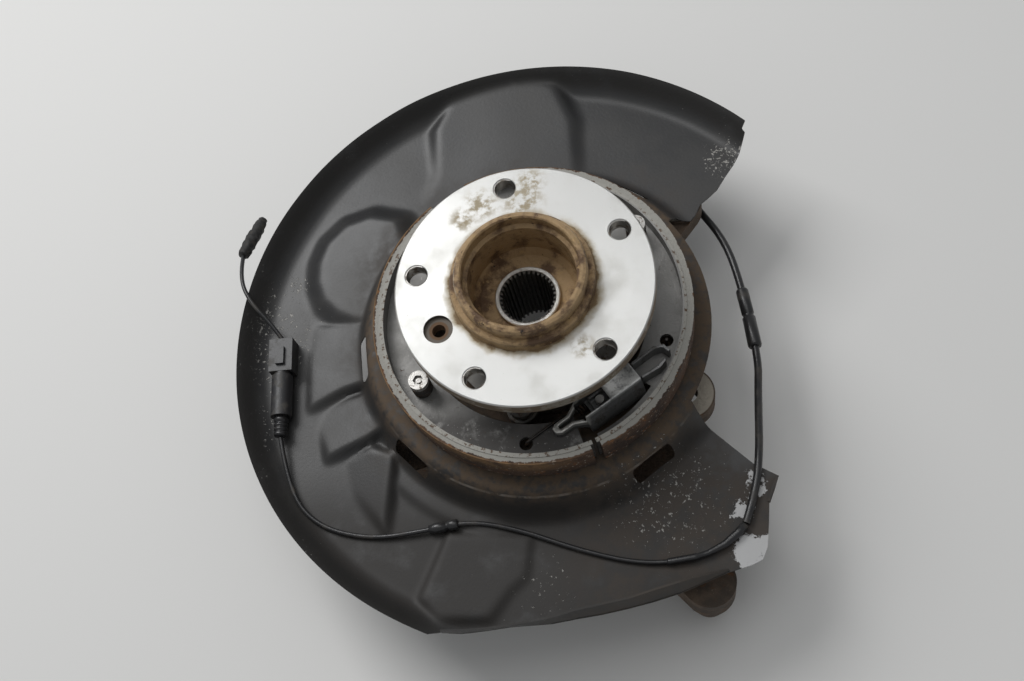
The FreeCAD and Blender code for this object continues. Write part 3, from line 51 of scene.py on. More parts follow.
# Camera: held above the hub and a little in front of it, as the hub was photographed,
# with a lens of 42 mm before a sensor 36 mm wide.
camera = bpy.data.objects.new("camera", bpy.data.cameras.new("camera"))
camera.data.sensor_width = 36
camera.data.lens = 42.1875
camera.data.clip_end = 20
right = Vector((0.98880269, 0, -0.14922882))
up = Vector((0.05814144, 0.92097882, 0.38525004))
back = Vector((0.13743658, -0.38961266, 0.91066633))
camera.matrix_world = Matrix((right, up, back)).transposed().to_4x4()
camera.location = (0.08138, -0.28168, 0.57957)
bpy.context.scene.collection.objects.link(camera)
bpy.context.scene.camera = camera

# Knuckle lead: the thick half of the wheel-speed sensor's cable. Black rubber over two cores,
# moulded to the sensor at its upper end and clipped to the shield's foot at its lower end.
THICK_ROUTE = [(0.0319, 0.092, -0.086), (0.0358, 0.1039, -0.0875), (0.0447, 0.1134, -0.0905),
               (0.0568, 0.1183, -0.094), (0.0718, 0.1175, -0.0975), (0.0845, 0.1116, -0.1003),
               (0.0994, 0.0912, -0.1006), (0.1132, 0.0685, -0.1), (0.1203, 0.042, -0.0998),
               (0.1278, -0.012, -0.0972), (0.1252, -0.038, -0.0894), (0.1224, -0.078, -0.0754),
               (0.1184, -0.101, -0.0754), (0.1119, -0.118, -0.0754)]


def drawn_line(name, route, radius, steps=10, roundness=4):
    """Cable or wire as one smooth spline whose control points are the route's points."""
    curve = bpy.data.curves.new(name, "CURVE")
    curve.dimensions = "3D"
    spline = curve.splines.new("NURBS")
    spline.points.add(len(route) - 1)
    for point, place in zip(spline.points, route):
        point.co = (*place, 1)
        point.radius = radius
    spline.order_u = 3
    spline.use_endpoint_u = True
    spline.resolution_u = steps
    curve.bevel_depth = 1
    curve.bevel_resolution = roundness
    curve.use_fill_caps = True
    obj = bpy.data.objects.new(name, curve)
    bpy.context.scene.collection.objects.link(obj)
    return obj


class Finish:
    """A surface finish: a ground colour with coats of dirt, rust and wear laid over it."""

    def __init__(self, name, colour, roughness, metallic=0.0):
        self.material = bpy.data.materials.new(name)
        self.material.use_nodes = True
        self.tree = self.material.node_tree
        self.shader = self.tree.nodes["Principled BSDF"]
        self.place = self.tree.nodes.new("ShaderNodeTexCoord").outputs["Object"]
        self.ground = {"Base Color": (*colour, 1), "Roughness": roughness, "Metallic": metallic}
        self.normal = None

    def feed(self, socket, value):
        if isinstance(value, bpy.types.NodeSocket):
            self.tree.links.new(value, socket)
        else:
            socket.default_value = value

    def calc(self, operation, *terms):
        node = self.tree.nodes.new("ShaderNodeMath")
        node.operation = operation
        for socket, term in zip(node.inputs, terms):
            self.feed(socket, term)
        return node.outputs[0]

    def mottle(self, size, detail=6, roughness=0.6):
        """Cloudy pattern with blotches of about this size in metres."""
        node = self.tree.nodes.new("ShaderNodeTexNoise")
        self.feed(node.inputs["Vector"], self.place)
        node.inputs["Scale"].default_value = 1 / size
        node.inputs["Detail"].default_value = detail
        node.inputs["Roughness"].default_value = roughness
        return node.outputs[0]

    def between(self, value, low, high):
        """0 below low and 1 above high, smooth between them; low may be the larger."""
        node = self.tree.nodes.new("ShaderNodeMapRange")
        node.interpolation_type = "SMOOTHSTEP"
        self.feed(node.inputs["Value"], value)
        self.feed(node.inputs["From Min"], low)
        self.feed(node.inputs["From Max"], high)
        return node.outputs[0]

    def wander(self, value, pattern, reach):
        """A value shifted by up to this reach where the pattern is bright, for a ragged edge."""
        return self.calc("ADD", value, self.calc("MULTIPLY", pattern, reach))

    def axis(self, letter):
        node = self.tree.nodes.new("ShaderNodeSeparateXYZ")
        self.feed(node.inputs[0], self.place)
        return node.outputs["XYZ".index(letter)]

    def distance(self, x, y):
        """Distance from an upright line through this place."""
        flat = self.tree.nodes.new("ShaderNodeVectorMath")
        flat.operation = "MULTIPLY"
        self.feed(flat.inputs[0], self.place)
        flat.inputs[1].default_value = (1, 1, 0)
        node = self.tree.nodes.new("ShaderNodeVectorMath")
        node.operation = "DISTANCE"
        self.feed(node.inputs[0], flat.outputs[0])
        node.inputs[1].default_value = (x, y, 0)
        return node.outputs["Value"]

    def both(self, *masks):
        """1 only where every mask is 1."""
        result = masks[0]
        for mask in masks[1:]:
            result = self.calc("MULTIPLY", result, mask)
        return result

    def either(self, *masks):
        """1 where any mask is 1."""
        result = masks[0]
        for mask in masks[1:]:
            result = self.calc("MAXIMUM", result, mask)
        return result

    def coat(self, where, colour, roughness=None, metallic=None):
        """Lay a colour, roughness or metallic share over the ground where the mask is 1."""
        for name, value in (("Base Color", colour), ("Roughness", roughness),
                            ("Metallic", metallic)):
            if value is None:
                continue
            mix = self.tree.nodes.new("ShaderNodeMix")
            self.feed(mix.inputs[0], where)
            if name == "Base Color":
                mix.data_type = "RGBA"
                first, second, result = mix.inputs[6], mix.inputs[7], mix.outputs[2]
                value = (*value, 1)
            else:
                first, second, result = mix.inputs[2], mix.inputs[3], mix.outputs[0]
            self.feed(first, self.ground[name])
            self.feed(second, value)
            self.ground[name] = result
        return self

    def blotches(self, pattern, low, high, *coat, within=None):
        """Coat in blotches: the values of mottle for them, the pattern's limits, and the coat."""
        mask = self.between(self.mottle(*pattern), low, high)
        return self.coat(mask if within is None else self.both(within, mask), *coat)

    def relief(self, pattern, depth):
        """Raise the surface by this depth in metres where the pattern is bright."""
        node = self.tree.nodes.new("ShaderNodeBump")
        node.inputs["Distance"].default_value = depth
        self.feed(node.inputs["Height"], pattern)
        if self.normal is not None:
            self.feed(node.inputs["Normal"], self.normal)
        self.normal = node.outputs[0]
        return self

    def on(self, *pieces):
        """Join the coats to the shader and give the finish to these pieces."""
        for name, value in self.ground.items():
            self.feed(self.shader.inputs[name], value)
        if self.normal is not None:
            self.feed(self.shader.inputs["Normal"], self.normal)
        for piece in pieces:
            materials = piece.data.materials
            if len(materials):
                for number in range(len(materials)):
                    materials[number] = self.material
            else:
                materials.append(self.material)
        return self


thick_lead = drawn_line("knuckle_lead", THICK_ROUTE, 0.0023)
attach(thick_lead, "carrier")
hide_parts("sensor_lead_thick")

lead_rubber = Finish("lead_rubber", (0.018, 0.018, 0.019), 0.3)
lead_rubber.blotches((0.012,), 0.5, 0.75, (0.055, 0.048, 0.04), 0.7)
lead_rubber.blotches((0.0016,), 0.66, 0.72, (0.12, 0.11, 0.1), 0.8)
lead_rubber.relief(lead_rubber.mottle(0.0012), 0.0001)
lead_rubber.on(thick_lead)

# Foot lead: the thin half of the same cable, two cores in black rubber. It lies loose on the
# shield from the clip at the foot round to the plug, with a rubber grommet halfway.
THIN_ROUTE = [(0.1115, -0.1187, -0.0754), (0.103, -0.1286, -0.0752), (0.084, -0.1366, -0.0753),
              (0.056, -0.1388, -0.0762), (0.022, -0.1303, -0.0763), (-0.014, -0.1166, -0.0758),
              (-0.042, -0.1112, -0.0746), (-0.068, -0.116, -0.0746), (-0.1, -0.1194, -0.0762),
              (-0.132, -0.1105, -0.076), (-0.1496, -0.0885, -0.074), (-0.1559, -0.0572, -0.0713)]
thin_lead = drawn_line("foot_lead", THIN_ROUTE, 0.0014)
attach(thin_lead, "carrier")
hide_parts("sensor_lead_thin")
lead_rubber.on(thin_lead)

# Pigtail: what is left of the car's own cable, two cores in one black rubber sleeve, moulded
# into the mating socket at one end and torn off under tape at the other.
PIGTAIL_ROUTE = [(-0.1587, 0.0052, -0.0713), (-0.1665, 0.016, -0.0678), (-0.1785, 0.028, -0.062),
                 (-0.1875, 0.046, -0.062), (-0.1883, 0.0637, -0.067)]
pigtail = drawn_line("pigtail", PIGTAIL_ROUTE, 0.0013)
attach(pigtail, "carrier")
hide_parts("pigtail_wires")
lead_rubber.on(pigtail)


# Collars on the leads: a clip collar, the tapered joint of the two halves and the grommet.
# All are moulded black rubber, slipped over the cable and following its line.
def cable_line(obj):
    """Points along a cable's middle, close together."""
    bare = obj.data.copy()
    bare.bevel_depth = 0
    holder = bpy.data.objects.new("line", bare)
    bpy.context.scene.collection.objects.link(holder)
    mesh = bpy.data.meshes.new_from_object(holder)
    points = [vertex.co.copy() for vertex in mesh.vertices]
    bpy.data.objects.remove(holder)
    bpy.data.curves.remove(bare)
    bpy.data.meshes.remove(mesh)
    return points


def point_at(points, distance):
    """Point and direction at a distance along a line of points."""
    for first, second in zip(points, points[1:]):
        step = (second - first).length
        if distance <= step or second is points[-1]:
            return first.lerp(second, distance / step), (second - first).normalized()
        distance -= step


def sleeve_on(name, points, rings, sides=28, wobble=0.0):
    """Rubber sleeve round a line: rings are (distance along it, radius)."""
    mesh = bpy.data.meshes.new(name)
    places, faces = [], []
    side = None
    for distance, radius in rings:
        centre, along = point_at(points, distance)
        side = (side or Vector((0, 0, 1))).cross(along).normalized().cross(along) * -1
        side.normalize()
        other = along.cross(side)
        for number in range(sides):
            turn = 2 * math.pi * number / sides
            spot = Vector((distance * 260, math.cos(turn) * 1.3, math.sin(turn) * 1.3))
            spread = radius + wobble * noise.noise(spot)
            places.append(centre + (side * math.cos(turn) + other * math.sin(turn)) * spread)
    for ring in range(len(rings) - 1):
        for number in range(sides):
            after = (number + 1) % sides
            faces.append((ring * sides + number, ring * sides + after,
                          (ring + 1) * sides + after, (ring + 1) * sides + number))
    faces.append(tuple(range(sides))[::-1])
    faces.append(tuple(range((len(rings) - 1) * sides, len(rings) * sides)))
    mesh.from_pydata(places, [], faces)
    for face in mesh.polygons:
        face.use_smooth = len(face.vertices) == 4
    obj = bpy.data.objects.new(name, mesh)
    bpy.context.scene.collection.objects.link(obj)
    return obj


def nearest_distance(points, place):
    """How far along a line of points it passes nearest to a place."""
    run, best, found = 0.0, 1e9, 0.0
    for first, second in zip(points, points[1:]):
        if (first - place).length < best:
            best, found = (first - place).length, run
        run += (second - first).length
    return found


thick_line = cable_line(thick_lead)
thin_line = cable_line(thin_lead)
collar_middle = nearest_distance(thick_line, Vector((0.1243, 0.0135, -0.0984)))
collar_start = collar_middle - 0.0185
collar = sleeve_on("lead_collar", thick_line, [
    (collar_start, 0.0024), (collar_start, 0.0034), (collar_start + 0.001, 0.0038),
    (collar_start + 0.0165, 0.0038), (collar_start + 0.0172, 0.0033),
    (collar_start + 0.0188, 0.0033), (collar_start + 0.0195, 0.004),
    (collar_start + 0.038, 0.0042), (collar_start + 0.0392, 0.0037),
    (collar_start + 0.0392, 0.0024)])

joint_sleeve = sleeve_on("lead_joint", thin_line, [
    (0.0001, 0.0018), (0.0002, 0.00242), (0.006, 0.00236), (0.016, 0.00205), (0.026, 0.0017),
    (0.032, 0.0016), (0.0325, 0.00195), (0.034, 0.00205), (0.047, 0.00205), (0.0485, 0.0019),
    (0.049, 0.00145)])

grommet_middle = nearest_distance(thin_line, Vector((-0.0564, -0.1135, -0.0746)))
grommet_start = grommet_middle - 0.0085
grommet = sleeve_on("lead_grommet_boot", thin_line, [
    (grommet_start, 0.0015), (grommet_start + 0.0003, 0.0026), (grommet_start + 0.001, 0.0031),
    (grommet_start + 0.0055, 0.0031), (grommet_start + 0.0062, 0.0022),
    (grommet_start + 0.0072, 0.0022), (grommet_start + 0.0079, 0.0031),
    (grommet_start + 0.0138, 0.0031), (grommet_start + 0.0146, 0.0027),
    (grommet_start + 0.017, 0.0024), (grommet_start + 0.0172, 0.0015)])

for piece, node in ((collar, "lead_sleeve"), (joint_sleeve, "lead_joint_sleeve"),
                    (grommet, "lead_grommet")):
    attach(piece, "carrier")
    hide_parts(node)
    lead_rubber.on(piece)

# Taped lump: black cloth tape, wound by hand in overlapping laps over the cut cores of the
# pigtail, stuck to itself and torn off at its upper end.
tape_line = [Vector((-0.1883, 0.0641, -0.0671)), Vector((-0.1866, 0.0725, -0.0694)),
             Vector((-0.1847, 0.0805, -0.0722)), Vector((-0.1828, 0.089, -0.0754)),
             Vector((-0.1816, 0.0948, -0.0772))]
tape_length = sum((b - a).length for a, b in zip(tape_line, tape_line[1:]))
TAPE_STEPS, TAPE_LAPS, LAP_HEIGHT = 60, 6.5, 0.00035
tape_rings = [(0.0, 0.0014)]
for step in range(TAPE_STEPS + 1):
    along = step / TAPE_STEPS
    swell = 0.0026 + 0.0014 * math.sin(math.pi * min(1, 0.12 + along * 0.9)) ** 0.7
    lap = LAP_HEIGHT * ((along * TAPE_LAPS) % 1.0)
    tape_rings.append((along * tape_length * 0.998, swell + lap))
tape_rings.append((tape_length * 0.999, 0.0012))
tape = sleeve_on("tape_lump", tape_line, tape_rings, 32, 0.0006)
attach(tape, "carrier")
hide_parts("tape_wrap")
cloth_tape = Finish("cloth_tape", (0.014, 0.0135, 0.013), 0.62)
cloth_tape.blotches((0.004,), 0.5, 0.7, (0.05, 0.043, 0.036), 0.85)
cloth_tape.relief(cloth_tape.mottle(0.0007, 3), 0.0002)
cloth_tape.on(tape)

# Wheel carrier: the knuckle that holds the bearing, with two caliper lugs and the link arms.
# One grey iron casting, its sand-cast skin rusted brown, with machined faces and bores.
cast_rust = Finish("cast_rust", (0.12, 0.085, 0.06), 0.85, 0.1)
cast_rust.blotches((0.02,), 0.42, 0.62, (0.06, 0.045, 0.034), 0.8)
cast_rust.blotches((0.007, 8, 0.7), 0.56, 0.68, (0.16, 0.078, 0.035), 0.92)
cast_rust.blotches((0.0022,), 0.64, 0.7, (0.2, 0.15, 0.11), 0.9)
CALIPER_LUGS = ((0.0845, -0.0385), (0.0845, 0.0895))
lug_face = cast_rust.both(
    cast_rust.either(*[cast_rust.between(cast_rust.distance(x, y), 0.0155, 0.0148)
                       for x, y in CALIPER_LUGS]),
    cast_rust.between(cast_rust.axis("Z"), -0.0816, -0.0811))
cast_rust.coat(lug_face, (0.4, 0.36, 0.3), 0.5, 0.25)
cast_rust.relief(cast_rust.mottle(0.0035, 8, 0.7), 0.0012)
cast_rust.on(nodes["wheel_carrier"])

# Link bushes: rubber bonded to a steel sleeve and pressed into each bore of the link arms.
# The bearing's seals are of the same rubber, the bolts and adjuster of the same dull steel.
bush_rubber = Finish("bush_rubber", (0.02, 0.019, 0.018), 0.7)
bush_rubber.blotches((0.006,), 0.5, 0.7, (0.07, 0.055, 0.042), 0.9)
bush_rubber.relief(bush_rubber.mottle(0.001), 0.0002)
bush_rubber.on(nodes["link_bush_rubbers"], nodes["bearing_seal_outboard"],
               nodes["bearing_seal_inboard"])

dull_steel = Finish("dull_steel", (0.17, 0.16, 0.15), 0.5, 0.7)
dull_steel.blotches((0.004,), 0.48, 0.62, (0.09, 0.06, 0.04), 0.8, 0.1)
dull_steel.blotches((0.0012,), 0.62, 0.68, (0.3, 0.29, 0.27), 0.4, 0.8)
dull_steel.relief(dull_steel.mottle(0.0012), 0.00015)
dull_steel.on(nodes["link_bush_sleeves"], nodes["bearing_bolts"], nodes["shield_bolts"],
              nodes["sensor_screw"], nodes["adjuster_screw"], nodes["adjuster_sleeve"])

# Bearing: an outer ring bolted to the carrier, two inner rings pressed on the flange's journal
# and two rows of balls between them, all hardened steel, ground and greased.
ground_steel = Finish("ground_steel", (0.42, 0.41, 0.39), 0.32, 0.9)
ground_steel.blotches((0.01,), 0.5, 0.68, (0.14, 0.095, 0.06), 0.7, 0.2)
ground_steel.relief(ground_steel.mottle(0.0008), 0.00006)
ground_steel.on(nodes["bearing_outer_ring"], nodes["bearing_inner_ring_outboard"],
                nodes["bearing_inner_ring_inboard"], nodes["ball_row_outboard"],
                nodes["ball_row_inboard"])

# Drive flange: forged steel, its face and pilots turned, the bowl left raw and rusted,
# the splined collar bright where the drive joint sat.
flange_steel = Finish("flange_steel", (0.56, 0.56, 0.545), 0.36, 0.6)
radius = flange_steel.distance(0, 0)
height = flange_steel.axis("Z")
turned = flange_steel.tree.nodes.new("ShaderNodeTexWave")
turned.wave_type = "RINGS"
turned.rings_direction = "Z"
turned.inputs["Scale"].default_value = 700
turned.inputs["Distortion"].default_value = 1.5
turned.inputs["Detail"].default_value = 2
flange_steel.feed(turned.inputs["Vector"], flange_steel.place)
flange_steel.blotches((0.03,), 0.45, 0.7, (0.5, 0.495, 0.47), 0.44, 0.45)
flange_steel.blotches((0.0016,), 0.69, 0.73, (0.3, 0.28, 0.24), 0.6)
edge_band = flange_steel.both(flange_steel.between(radius, 0.0706, 0.0713),
                              flange_steel.between(height, -0.0002, -0.0012))
flange_steel.coat(edge_band, (0.17, 0.13, 0.09), 0.62, 0.4)
flange_steel.blotches((0.008,), 0.5, 0.62, (0.33, 0.3, 0.25), 0.5, 0.6, within=edge_band)
# Rust stains on the face: place and reach of each
STAINS = ((-0.024, 0.05, 0.014), (0.004, 0.062, 0.012), (-0.034, 0.041, 0.01),
          (0.0, 0.049, 0.016), (0.031, -0.039, 0.009))
for x, y, reach in STAINS:
    near = flange_steel.between(flange_steel.distance(x, y), reach, reach / 4)
    flange_steel.blotches((0.006, 8, 0.7), 0.42, 0.6, (0.33, 0.28, 0.19), 0.6, 0.25, within=near)
halo = flange_steel.wander(radius, flange_steel.mottle(0.012, 7), 0.012)
flange_steel.coat(flange_steel.between(halo, 0.0515, 0.0465), (0.4, 0.34, 0.24), 0.62, 0.2)
flange_steel.coat(flange_steel.between(halo, 0.048, 0.0462), (0.19, 0.125, 0.06), 0.7, 0.1)
bowl = flange_steel.between(radius, 0.0402, 0.0395)
flange_steel.coat(bowl, (0.4, 0.27, 0.14), 0.42, 0.2)
# Blotches of rust in the bowl: size and roughness of the pattern, its limits, and the coat
for pattern, low, high, coat in (((0.014, 8, 0.65), 0.45, 0.62, ((0.12, 0.068, 0.035), 0.45, 0.15)),
                                 ((0.006, 8, 0.7), 0.58, 0.66, ((0.42, 0.28, 0.13), 0.4, 0.3)),
                                 ((0.003,), 0.64, 0.7, ((0.03, 0.018, 0.012), 0.4))):
    flange_steel.blotches(pattern, low, high, *coat, within=bowl)
collar_face = flange_steel.both(flange_steel.between(radius, 0.0187, 0.0184),
                                flange_steel.between(height, -0.0182, -0.0177))
flange_steel.coat(collar_face, (0.75, 0.74, 0.71), 0.28, 0.75)
teeth = flange_steel.both(flange_steel.between(radius, 0.0161, 0.0159),
                          flange_steel.between(height, -0.0176, -0.018))
flange_steel.coat(teeth, (0.15, 0.145, 0.135), 0.4, 0.8)
bores = flange_steel.both(flange_steel.between(height, -0.0004, -0.0012),
                          flange_steel.between(radius, 0.045, 0.046),
                          flange_steel.between(radius, 0.0703, 0.07))
flange_steel.coat(bores, (0.36, 0.35, 0.33), 0.35, 0.9)
SCREW_HOLE = (-0.0464, -0.0246)
spot = flange_steel.both(flange_steel.between(flange_steel.distance(*SCREW_HOLE), 0.0086, 0.0083),
                         flange_steel.between(height, -0.0006, -0.0014))
flange_steel.coat(spot, (0.1, 0.085, 0.07), 0.55, 0.5)
recess = flange_steel.both(
    spot, flange_steel.between(flange_steel.distance(*SCREW_HOLE), 0.0056, 0.0052))
flange_steel.coat(recess, (0.13, 0.075, 0.04), 0.8, 0.1)
flange_steel.relief(turned.outputs["Fac"], 0.00002)
flange_steel.relief(flange_steel.both(flange_steel.mottle(0.004, 8, 0.7), bowl), 0.0016)
flange_steel.on(nodes["drive_flange"])

# Threads of the wheel-bolt holes: tapped through the forged steel of the flange from its face,
# with a pitch of 1.5 mm, their crests rubbed bright by the bolts.
PITCH, CREST, ROOT = 0.0015, 0.00578, 0.00624
BOLT_HOLES, BOLT_CIRCLE, FIRST_HOLE = 5, 0.06, 28
THREAD_TOP, THREAD_END, FIRST_TURN = -0.0006, -0.0094, -0.00935
sides, levels = 40, 15
thread_steel = Finish("thread_steel", (0.36, 0.35, 0.33), 0.3, 0.9)
thread_steel.blotches((0.004,), 0.5, 0.66, (0.14, 0.1, 0.07), 0.6, 0.3)
thread_steel.relief(thread_steel.mottle(0.0008), 0.00004)
for number in range(BOLT_HOLES):
    turn = math.radians(FIRST_HOLE + 360 / BOLT_HOLES * number)
    middle = Vector((BOLT_CIRCLE * math.cos(turn), BOLT_CIRCLE * math.sin(turn), 0))
    places, faces = [], []
    for level in range(levels):
        for side_number in range(sides):
            bend = 2 * math.pi * side_number / sides
            low = FIRST_TURN + PITCH / 2 * level - PITCH * side_number / sides
            reach = CREST if level % 2 else ROOT
            places.append(middle + Vector((reach * math.cos(bend), reach * math.sin(bend),
                                           min(max(low, THREAD_END), THREAD_TOP))))
    for level in range(levels - 1):
        for side_number in range(sides):
            after = side_number + 1
            if after < sides:
                faces.append([level * sides + side_number, (level + 1) * sides + side_number,
                              (level + 1) * sides + after, level * sides + after])
            elif level < levels - 3:
                faces.append([level * sides + side_number, (level + 1) * sides + side_number,
                              (level + 3) * sides, (level + 2) * sides])
    mesh = bpy.data.meshes.new(f"bolt_thread_{number}")
    mesh.from_pydata(places, [], faces)
    thread = bpy.data.objects.new(f"bolt_thread_{number}", mesh)
    bpy.context.scene.collection.objects.link(thread)
    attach(thread, "hub")
    thread_steel.on(thread)

# Dust shield: pressed sheet steel with a flared rim, stepped panels and cooling windows,
# in satin anthracite paint, dusty towards the hub, chipped and rubbed bare at its edges.
# Heights and radii in mm: outer floor, plateau round the hub and the rim's edge
FLOOR, PLATEAU, RIM_EDGE = -78.0, -56.0, -64.0
BORE, RIM_ROOT, RIM = 62.0, 171.5, 185.4
SKIRT_TOP, SKIRT_FOOT = 99.5, 115
SHEET = 1.2
# Raised panels: outline in mm, height at its middle, width of its flank, and how it leans
PANELS = [
    ([(-88, 84), (-107, 89), (-124, 84), (-136, 72), (-141, 58), (-141, 44), (-136, 31), (-126, 21),
      (-114, 15), (-100, 14), (-92, 40), (-84, 70)], 8.0, 11.0, (0.05, 0.03)),
    ([(-141, 16), (-143, -8), (-141, -38), (-120, -29), (-102, -25), (-102, 14)],
     4.5, 3.0, (0.19, -0.03)),
    ([(-137, -42), (-118, -33), (-99, -29), (-92, -54), (-103, -61), (-128, -70)],
     4.8, 3.0, (0.22, -0.08)),
    ([(-124, -76), (-101, -64), (-86, -70), (-91, -114)], 3.6, 4.0, (0.24, 0.06)),
    ([(-54, -118), (-61, -135), (-69, -154), (-58, -166), (-30, -166), (-19, -151), (-10, -143),
      (-7, -121)], 2.8, 3.2, (-0.03, 0.0)),
    ([(23, 104), (22, 150), (12, 176), (-20, 186), (-56, 176), (-68, 150), (-66, 118), (-72, 100)],
     4.5, 7.0, (0.0, 0.09)),
]
# Cut-away side: the straight lower side with its upturned wall, the foot, and the upper tip
WALL_FOOT = [(-57, -172.6), (-46, -173.2), (-32, -171.9), (-18.5, -170.2), (4.7, -169),
             (18.7, -166.6), (32.7, -164.6), (46.6, -161.8), (60.5, -158.5), (74.5, -154.4),
             (88.5, -148.8), (101, -143.9)]
WALL_TOP = [(-55, -174.2, -64), (-43.3, -174.3, -64), (-30, -173.6, -64), (-17, -172.1, -64),
            (5, -168.6, -64), (20.2, -164.6, -64), (33.9, -162, -64), (47.5, -159.4, -64),
            (61.2, -155.3, -64), (74.9, -151.4, -64.5), (88.6, -146.8, -70), (101.1, -143.3, -77)]
FOOT_EDGE = [(113.5, -140.6), (119.5, -137.8), (122.6, -131), (124.4, -118), (125.6, -106),
             (128.6, -98), (132, -91.3), (127.2, -88.6), (118.5, -83.5), (89.2, -55.8)]
TIP_EDGE = [(84, 72.6), (92.4, 72.2), (95.6, 75.6), (99, 83), (104.6, 87.6), (110.2, 92.8),
            (115.7, 101.5), (121.4, 109.7), (125.4, 116.9), (129.3, 126.6), (127.6, 129.2),
            (136, 142)]


def ease(value, low, high):
    """0 up to low and 1 from high on, smooth between them."""
    share = min(max((value - low) / (high - low), 0.0), 1.0)
    return share * share * (3 - 2 * share)


def depth_in(x, y, outline):
    """Distance inside a closed outline; negative outside it."""
    nearest, within = 1e9, False
    for (ax, ay), (bx, by) in zip(outline, outline[1:] + outline[:1]):
        dx, dy = bx - ax, by - ay
        share = min(max(((x - ax) * dx + (y - ay) * dy) / (dx * dx + dy * dy), 0.0), 1.0)
        nearest = min(nearest, math.hypot(x - ax - share * dx, y - ay - share * dy))
        if (ay > y) != (by > y) and x < (bx - ax) * (y - ay) / (by - ay) + ax:
            within = not within
    return nearest if within else -nearest


def sheet_height(x, y):
    """Height of the shield's upper side, in mm."""
    out, turn = math.hypot(x, y), math.degrees(math.atan2(y, x))
    rise = (PLATEAU - FLOOR) * (1 - ease(out, SKIRT_TOP, SKIRT_FOOT))
    shoulder = (2.2 * (1 - ease(out, 120.5, 126))
                * ease(turn, -152, -144) * (1 - ease(turn, -108, -96)))
    rise = max(rise, shoulder)
    for outline, height, flank, (lean_x, lean_y) in PANELS:
        middle_x = sum(px for px, py in outline) / len(outline)
        middle_y = sum(py for px, py in outline) / len(outline)
        top = height + lean_x * (x - middle_x) + lean_y * (y - middle_y)
        if math.hypot(x - middle_x, y - middle_y) < 75:
            rise = max(rise, top * ease(depth_in(x, y, outline), -flank, flank * 0.4))
    upturn = 1 - ease(turn, -118, -103) if turn < 0 else 1.0
    curl = ease(out, RIM_ROOT - 3, RIM + 9) / ease(RIM, RIM_ROOT - 3, RIM + 9)
    lip = (RIM_EDGE - FLOOR) * upturn * curl
    dents = 0.35 * noise.noise(Vector((x / 34, y / 34, 2.0))) * ease(out, 102, 118)
    return FLOOR + max(rise, lip) + dents


def on_circle(out, angle):
    """Point at this distance and angle, in degrees, from the hub's axis."""
    return out * math.cos(math.radians(angle)), out * math.sin(math.radians(angle))


# The sheet is shaped on a round net of points, then its folds are softened three times over
RINGS, SPOKES = 74, 540
heights = []
for ring in range(RINGS + 1):
    out = BORE + (RIM - BORE) * ring / RINGS
    heights.append([sheet_height(out * math.cos(2 * math.pi * spoke / SPOKES),
                                 out * math.sin(2 * math.pi * spoke / SPOKES))
                    for spoke in range(SPOKES)])
for smoothing in range(3):
    heights = [[(heights[max(ring - 1, 0)][spoke] + heights[min(ring + 1, RINGS)][spoke]
                 + row[spoke - 1] + row[(spoke + 1) % SPOKES] + 4 * row[spoke]) / 8
                for spoke in range(SPOKES)] for ring, row in enumerate(heights)]
heights[RINGS] = [min(height, RIM_EDGE) for height in heights[RINGS]]
places, faces = [], []
for below in (0.0, SHEET):
    for ring in range(RINGS + 1):
        out = BORE + (RIM - BORE) * ring / RINGS
        for spoke in range(SPOKES):
            turn = 2 * math.pi * spoke / SPOKES
            places.append(Vector((out * math.cos(turn), out * math.sin(turn),
                                  heights[ring][spoke] - below)) / 1000)
for ring in range(RINGS):
    for spoke in range(SPOKES):
        corners = [ring * SPOKES + spoke, (ring + 1) * SPOKES + spoke,
                   (ring + 1) * SPOKES + (spoke + 1) % SPOKES, ring * SPOKES + (spoke + 1) % SPOKES]
        faces.append(corners)
        faces.append([corner + (RINGS + 1) * SPOKES for corner in reversed(corners)])
for spoke in range(SPOKES):
    after, under = (spoke + 1) % SPOKES, (RINGS + 1) * SPOKES
    faces.append([after, after + under, spoke + under, spoke])
    last = RINGS * SPOKES
    faces.append([last + spoke, last + spoke + under, last + after + under, last + after])
shield_mesh = bpy.data.meshes.new("dust_shield_sheet")
shield_mesh.from_pydata(places, [], faces)
shield = bpy.data.objects.new("dust_shield_sheet", shield_mesh)
bpy.context.scene.collection.objects.link(shield)


def prism_cutter(outline, low=-120.0, high=0.0):
    """Upright block with this outline in mm, for cutting a hole through a sheet."""
    count = len(outline)
    mesh = bpy.data.meshes.new("cutter")
    mesh.from_pydata([Vector((x, y, z)) / 1000 for z in (low, high) for x, y in outline], [],
                     [list(range(count))[::-1], list(range(count, 2 * count))]
                     + [[number, (number + 1) % count, (number + 1) % count + count, number + count]
                        for number in range(count)])
    cutter = bpy.data.objects.new("cutter", mesh)
    bpy.context.scene.collection.objects.link(cutter)
    return cutter


def round_outline(x, y, radius, count=20):
    """Round hole as a ring of points."""
    return [(x + radius * math.cos(2 * math.pi * number / count),
             y + radius * math.sin(2 * math.pi * number / count)) for number in range(count)]


def slot_outline(angle, out, length, width, corner=2.2):
    """Rounded slot lying along a circle of the shield."""
    turn = math.radians(angle)
    points = []
    for side_x, side_y, start in ((1, 1, 0), (-1, 1, 90), (-1, -1, 180), (1, -1, 270)):
        for step in range(5):
            bend = math.radians(start + step * 22.5)
            along = out + side_x * (width / 2 - corner) + corner * math.cos(bend)
            across = side_y * (length / 2 - corner) + corner * math.sin(bend)
            points.append((along * math.cos(turn) - across * math.sin(turn),
                           along * math.sin(turn) + across * math.cos(turn)))
    return points


